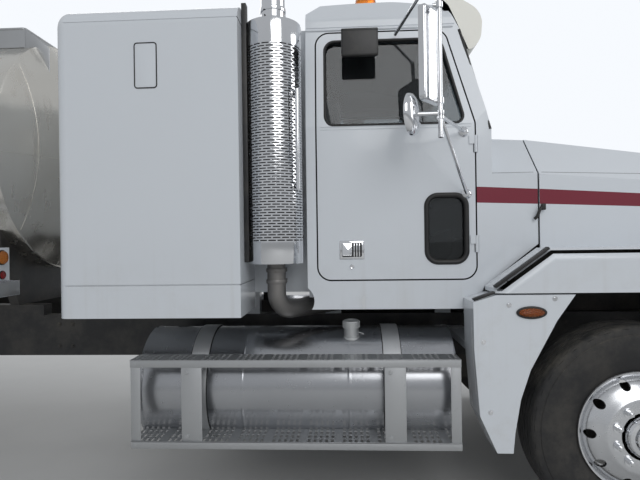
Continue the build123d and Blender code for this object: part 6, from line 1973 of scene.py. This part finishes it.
# %% Armrests and door pulls
for name, side in SIDES:
    centre = seat_on(f"door_{name}", (behind(1.10), 0, 1.720), (0, side, 0))
    wall = centre.y
    rest = block((behind(1.260), wall + side * 0.001, 1.690), (behind(0.960), wall - side * 0.055, 1.735),
                 0.018, 4)
    pull = tube([(behind(0.930), wall, 1.900), (behind(0.930), wall - side * 0.035, 1.900),
                 (behind(0.905), wall - side * 0.035, 2.020), (behind(0.905), wall, 2.020)],
                0.008, corner=0.015, resolution=4)
    pocket = block((behind(1.300), wall + side * 0.001, 1.300), (behind(0.980), wall - side * 0.028, 1.440),
                   0.010, 3)
    done(join([rest, pull, pocket]), f"door_trim_{name}", f"{name}_door", interior_plastic,
         sharp=40)
pedals = []
for y, width in ((0.350, 0.050), (0.470, 0.060), (0.600, 0.040)):
    pedals.append(tube([(behind(0.700), y, 1.520), (behind(0.790), y, 1.440), (behind(0.800), y, 1.330)],
                       0.008, corner=0.03))
    pedals.append(block((behind(0.8125), y - width, 1.300), (behind(0.8045), y + width, 1.365), 0.003))
done(join(pedals), "pedals", "chassis", black_paint, sharp=40)
print("Doors trimmed")
# %% [markdown]
# ## Roof lamps and beacons
# Five small clearance lamps sit along the front of the roof and two amber beacons behind them. A
# beacon is a lathe dome with ribs, on a dark base.

# %% Lamps on the roof
ROOF_LAMP_X, ROOF_LAMP_Z = behind(1.000), 2.8145
roof_way = Vector((0.16, 0, 1)).normalized()
for number, y in enumerate((-0.600, -0.160, 0.0, 0.160, 0.600)):
    round_lamp((ROOF_LAMP_X, y, ROOF_LAMP_Z), roof_way, 0.029, 0.034, amber_lens,
               f"roof_lamp_{number + 1}", rings=2)
BEACON_Y, BEACON_Z = 0.520, 2.8502
for name, side in SIDES:
    place = (behind(1.290), side * BEACON_Y, BEACON_Z)
    base = lathe(((0.0, 0.0004), (0.0, 0.084), (0.014, 0.085), (0.030, 0.080), (0.036, 0.074),
                  (0.036, 0.0004)), place, (0, 0, 1), (1, 0, 0), steps=48)
    done(base, f"beacon_base_{name}", "chassis", black_paint,
         ["body_lamps"] if side < 0 else [], sharp=40)
    profile = [(0.037, 0.070)]
    for ring in range(8):
        z = 0.042 + ring * 0.011
        profile += [(z, 0.0700 - 0.0006 * ring), (z + 0.0055, 0.0685 - 0.0006 * ring)]
    profile += [(0.140, 0.062), (0.155, 0.046), (0.164, 0.024), (0.167, 0.0004)]
    dome = lathe(profile, place, (0, 0, 1), (1, 0, 0), steps=48)
    done(dome, f"beacon_{name}", "chassis", amber_lens, sharp=25)
print("Roof lamps set")

# %% [markdown]
# ## Rear bumper and lamps
# The rear lamp panel is a folded plate with six round holes, cut with a Boolean, and a lamp lies
# in each hole, level with the plate. The bumper bar below is a rolled channel.

# %% Rear panel
REAR_X = behind(9.130)
PANEL_LOW, PANEL_HIGH, LAMP_Z, LAMP_RADIUS = 0.880, 1.000, 0.940, 0.046
LAMP_YS = (0.760, 0.900, 1.040)
rail_low, rail_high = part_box("chassis_rails")
bumper_low, bumper_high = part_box("rear_bumper")
panel = block((REAR_X + 0.0005, -1.130, PANEL_LOW), (REAR_X + 0.012, 1.130, PANEL_HIGH), 0.003)
holes = []
for side in (-1, 1):
    for y in LAMP_YS:
        clear()
        bpy.ops.mesh.primitive_cylinder_add(
            vertices=40, radius=LAMP_RADIUS, depth=0.06, location=(REAR_X, side * y, LAMP_Z),
            rotation=(0, radians(90), 0),
        )
        holes.append(bpy.context.object)
cutter = join(holes)
apply_modifier(panel, "BOOLEAN", operation="DIFFERENCE", object=cutter, solver="EXACT")
bpy.data.objects.remove(cutter, do_unlink=True)
flange = [block((REAR_X + 0.002, -1.128, z - 0.003), (REAR_X + 0.032, 1.128, z + 0.003), 0.001)
          for z in (PANEL_LOW + 0.0035, PANEL_HIGH - 0.0035)]
bar_points = [(REAR_X + 0.088, 0, 0.446), (REAR_X + 0.006, 0, 0.446), (REAR_X + 0.006, 0, 0.534),
              (REAR_X + 0.088, 0, 0.534)]
rolled = chain([Vector(point) + Vector((0, -1.0, 0)) for point in bar_points])
edit("VERT")
bpy.ops.mesh.select_all(action="SELECT")
bpy.ops.mesh.bevel(offset=0.018, segments=5, affect="VERTICES")
bpy.ops.mesh.select_all(action="SELECT")
bpy.ops.mesh.extrude_region_move(TRANSFORM_OT_translate={"value": (0, 2.0, 0)})
clear()
apply_modifier(rolled, "SOLIDIFY", thickness=0.007, offset=0)
outward(rolled)
rear_pieces = [panel, rolled] + flange
hanger_y = rail_high.y - 0.040
for side in (-1, 1):
    y = side * hanger_y
    rear_pieces.append(block((REAR_X + 0.020, y - 0.040, 0.500), (REAR_X + 0.080, y + 0.040, 1.000), 0.004))
    rear_pieces.append(block((REAR_X + 0.012, y - 0.044, rail_low.z + 0.010),
                             (rail_low.x - 0.0005, y + 0.044, rail_high.z - 0.010), 0.004))
    for z in (0.470, 0.510):
        rear_pieces.append(bolt((REAR_X + 0.010, y + 0.015, z), (-1, 0, 0), 0.008, 0.006))
done(join(rear_pieces), "rear_bumper_bar", "chassis", black_paint, ["rear_bumper"],
     sharp=35)
for name, side in SIDES:
    for number, y in enumerate(LAMP_YS):
        lens = (red_lens, amber_lens, red_lens)[number]
        round_lamp((REAR_X + 0.0145, side * y, LAMP_Z), (-1, 0, 0), 0.0385, 0.0135, lens,
                   f"rear_lamp_{name}_{number + 1}")
        can = lathe(((-0.020, 0.0004), (-0.020, 0.036), (-0.002, 0.0455), (0.001, 0.0455),
                     (0.001, 0.0004)),
                    (REAR_X + 0.0145, side * y, LAMP_Z), (-1, 0, 0), (0, 0, 1), steps=40)
        done(can, f"rear_lamp_can_{name}_{number + 1}", "chassis", gasket_rubber,
             sharp=40)
print("Rear end set")

# %% [markdown]
# ## Headlamps
# Each square headlamp is a bright reflector behind a lens with upright flutes, held by a chromed
# bezel that is rounded at its corners.

# %% Headlamps and bezels
LAMP_X, HEAD_Z, HEAD_WIDE, HEAD_TALL = 5.110, 1.060, 0.190, 0.150
bezels, backs, lenses = [], [], []
for y in (-0.980, -0.770, 0.770, 0.980):
    half_y, half_z = HEAD_WIDE / 2, HEAD_TALL / 2
    ring = [(LAMP_X + 0.012, y - half_y + 0.006, HEAD_Z - half_z + 0.006),
            (LAMP_X + 0.012, y + half_y - 0.006, HEAD_Z - half_z + 0.006),
            (LAMP_X + 0.012, y + half_y - 0.006, HEAD_Z + half_z - 0.006),
            (LAMP_X + 0.012, y - half_y + 0.006, HEAD_Z + half_z - 0.006)]
    bezels.append(tube(ring, 0.0095, closed=True, corner=0.022, segments=6, resolution=4))
    backs.append(plate([(LAMP_X + 0.0008, *point[1:]) for point in ring], (0.003, 0, 0), corner=0.02))
    backs.append(lathe(((0.0035, 0.058), (0.005, 0.050), (0.0042, 0.020), (0.009, 0.012),
                        (0.010, 0.0004)), (LAMP_X, y, HEAD_Z), (1, 0, 0), (0, 0, 1), steps=40))
    clear()
    bpy.ops.mesh.primitive_grid_add(x_subdivisions=48, y_subdivisions=2, size=1)
    lens = bpy.context.object
    lens.scale = (HEAD_WIDE - 0.014, HEAD_TALL - 0.014, 1)
    lens.rotation_euler = (radians(90), 0, radians(90))
    lens.location = (LAMP_X + 0.0145, y, HEAD_Z)
    bpy.ops.object.transform_apply(location=True, rotation=True, scale=True)
    for vertex in lens.data.vertices:
        flute = (vertex.co.y - y) / ((HEAD_WIDE - 0.014) / 24)
        vertex.co.x += 0.0018 * (0.5 + 0.5 * cos(2 * pi * flute))
    apply_modifier(lens, "SOLIDIFY", thickness=0.003, offset=0)
    lenses.append(lens)
done(join(bezels), "headlamp_bezels", "hood", chrome, ["headlamps"], sharp=60)
done(join(backs), "headlamp_reflectors", "hood", polished_aluminium, sharp=30)
done(join(lenses), "headlamp_lenses", "hood", lamp_glass, sharp=30)

# %% [markdown]
# The side marker on each fender's rear piece is an oval amber lens in a dark rubber, set flat on
# the panel behind the front wheel. A hatch in a rubber seal marks the sleeper's sides, and a
# fine seam runs along the cowl and the hood above the stripe.

# %% Side markers, hatch and seams
MARKER_X, MARKER_Z, MARKER_LONG, MARKER_TALL = behind(0.533), 1.128, 0.148, 0.063
for name, side in SIDES:
    wall = seat_on("fender_extensions", (MARKER_X, side * 2.0, MARKER_Z), (0, -side, 0))
    face = wall.y if wall else side * 1.190
    outline = []
    for step in range(28):
        turn = 2 * pi * step / 28
        outline.append((MARKER_X + MARKER_LONG / 2 * cos(turn), face, MARKER_Z + MARKER_TALL / 2 * sin(turn)))
    rubber = plate(outline, (0, side * 0.006, 0), bevel=0.0015)
    done(rubber, f"marker_rubber_{name}", "chassis", gasket_rubber, sharp=50)
    clear()
    bpy.ops.mesh.primitive_uv_sphere_add(segments=32, ring_count=16, radius=1.0)
    oval = bpy.context.object
    oval.scale = (MARKER_LONG / 2 - 0.010, 0.016, MARKER_TALL / 2 - 0.009)
    oval.location = (MARKER_X, face + side * 0.004, MARKER_Z)
    bpy.ops.object.transform_apply(location=True, rotation=True, scale=True)
    only(oval)
    edit("FACE")
    pick(lambda centre, normal: (centre.y - face) * side < 0.003)
    bpy.ops.mesh.delete(type="FACE")
    clear()
    apply_modifier(oval, "SOLIDIFY", thickness=0.002, offset=-1)
    done(oval, f"marker_lens_{name}", "chassis", amber_lens, sharp=60)

    sleeper_side = side * 1.2002
    hatch = [(behind(2.486), sleeper_side, 2.276), (behind(2.373), sleeper_side, 2.276),
             (behind(2.373), sleeper_side, 2.503), (behind(2.486), sleeper_side, 2.503)]
    door = plate([Vector(point) - Vector((0, side * 0.004, 0)) for point in hatch],
                 (0, side * 0.0048, 0), corner=0.014, bevel=0.0008)
    done(door, f"sleeper_hatch_{name}", "chassis", white_paint)
    seal = tube(hatch, 0.0034, closed=True, corner=0.014, resolution=2)
    done(seal, f"hatch_seal_{name}", "chassis", gasket_rubber, sharp=60)


def surface_line(node, side, start, end, z, count=14):
    """Points along a node's side at a height."""
    points = []
    for step in range(count + 1):
        x = behind(start + (end - start) * step / count)
        place = seat_on(node, (x, side * 2.0, z), (0, -side, 0))
        if place:
            points.append(place)
    return points


SEAM_Z = 1.845
for name, side in SIDES:
    cowl_line = surface_line("cab_shell", side, 0.640, 0.420, SEAM_Z, 4)
    hood_line = surface_line("hood", side, 0.375, -1.050, SEAM_Z, 16)
    if len(cowl_line) > 1:
        done(tube(cowl_line, 0.0018, resolution=2), f"cowl_seam_{name}", "chassis", seam_grey,
             sharp=60)
    if len(hood_line) > 1:
        done(tube(hood_line, 0.0018, resolution=2), f"hood_seam_{name}", "hood", seam_grey,
             sharp=60)
print("Markers, hatch and seams set")

# %% [markdown]
# Rows of bolts along the frame rails hold the crossmembers. Each is seated where a ray from the
# side meets the rail.

# %% Frame bolts
frame_bolts = []
for distance in (0.10, 0.85, 3.30, 4.15, 4.40, 5.15, 5.90, 6.65, 8.70):
    for side in (-1, 1):
        for shift in (-0.045, 0.045):
            for z in (rail_low.z + 0.06, rail_high.z - 0.06):
                place = seat_on("chassis_rails", (behind(distance) + shift, side * 0.75, z),
                                (0, -side, 0))
                if place and abs(place.y) > 0.35:
                    frame_bolts.append(bolt(place, (0, side, 0), 0.0095, 0.008))
if frame_bolts:
    done(join(frame_bolts), "frame_bolts", "chassis", cast_iron, sharp=30)
bumper_bolts = []
for y in (-0.72, -0.40, 0.40, 0.72):
    for z in (0.520, 0.660):
        place = seat_on("front_bumper", (6.0, y, z), (-1, 0, 0))
        if place:
            head = lathe(((0.0, 0.013), (0.0015, 0.0125), (0.0035, 0.008), (0.0042, 0.0004)), place,
                         (1, 0, 0), (0, 0, 1), steps=24)
            if place.x + 0.0045 < 5.1995:
                bumper_bolts.append(head)
            else:
                bpy.data.objects.remove(head, do_unlink=True)
if bumper_bolts:
    done(join(bumper_bolts), "bumper_bolts", "chassis", chrome, sharp=40)
print("Frame bolts:", len(frame_bolts), "bumper bolts:", len(bumper_bolts))

# %% [markdown]
# ## Sizes, and the end
# The CAD model's box and the box of everything shown are printed. Nothing that was added may
# reach outside the CAD model's box.

# %% Print the sizes and finish
clear()
shown_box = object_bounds()
sizes = {"cad": [list(part) for part in cad_box], "visual": [list(part) for part in shown_box]}
for label, box in sizes.items():
    print(label, [[round(value, 4) for value in corner] for corner in box])
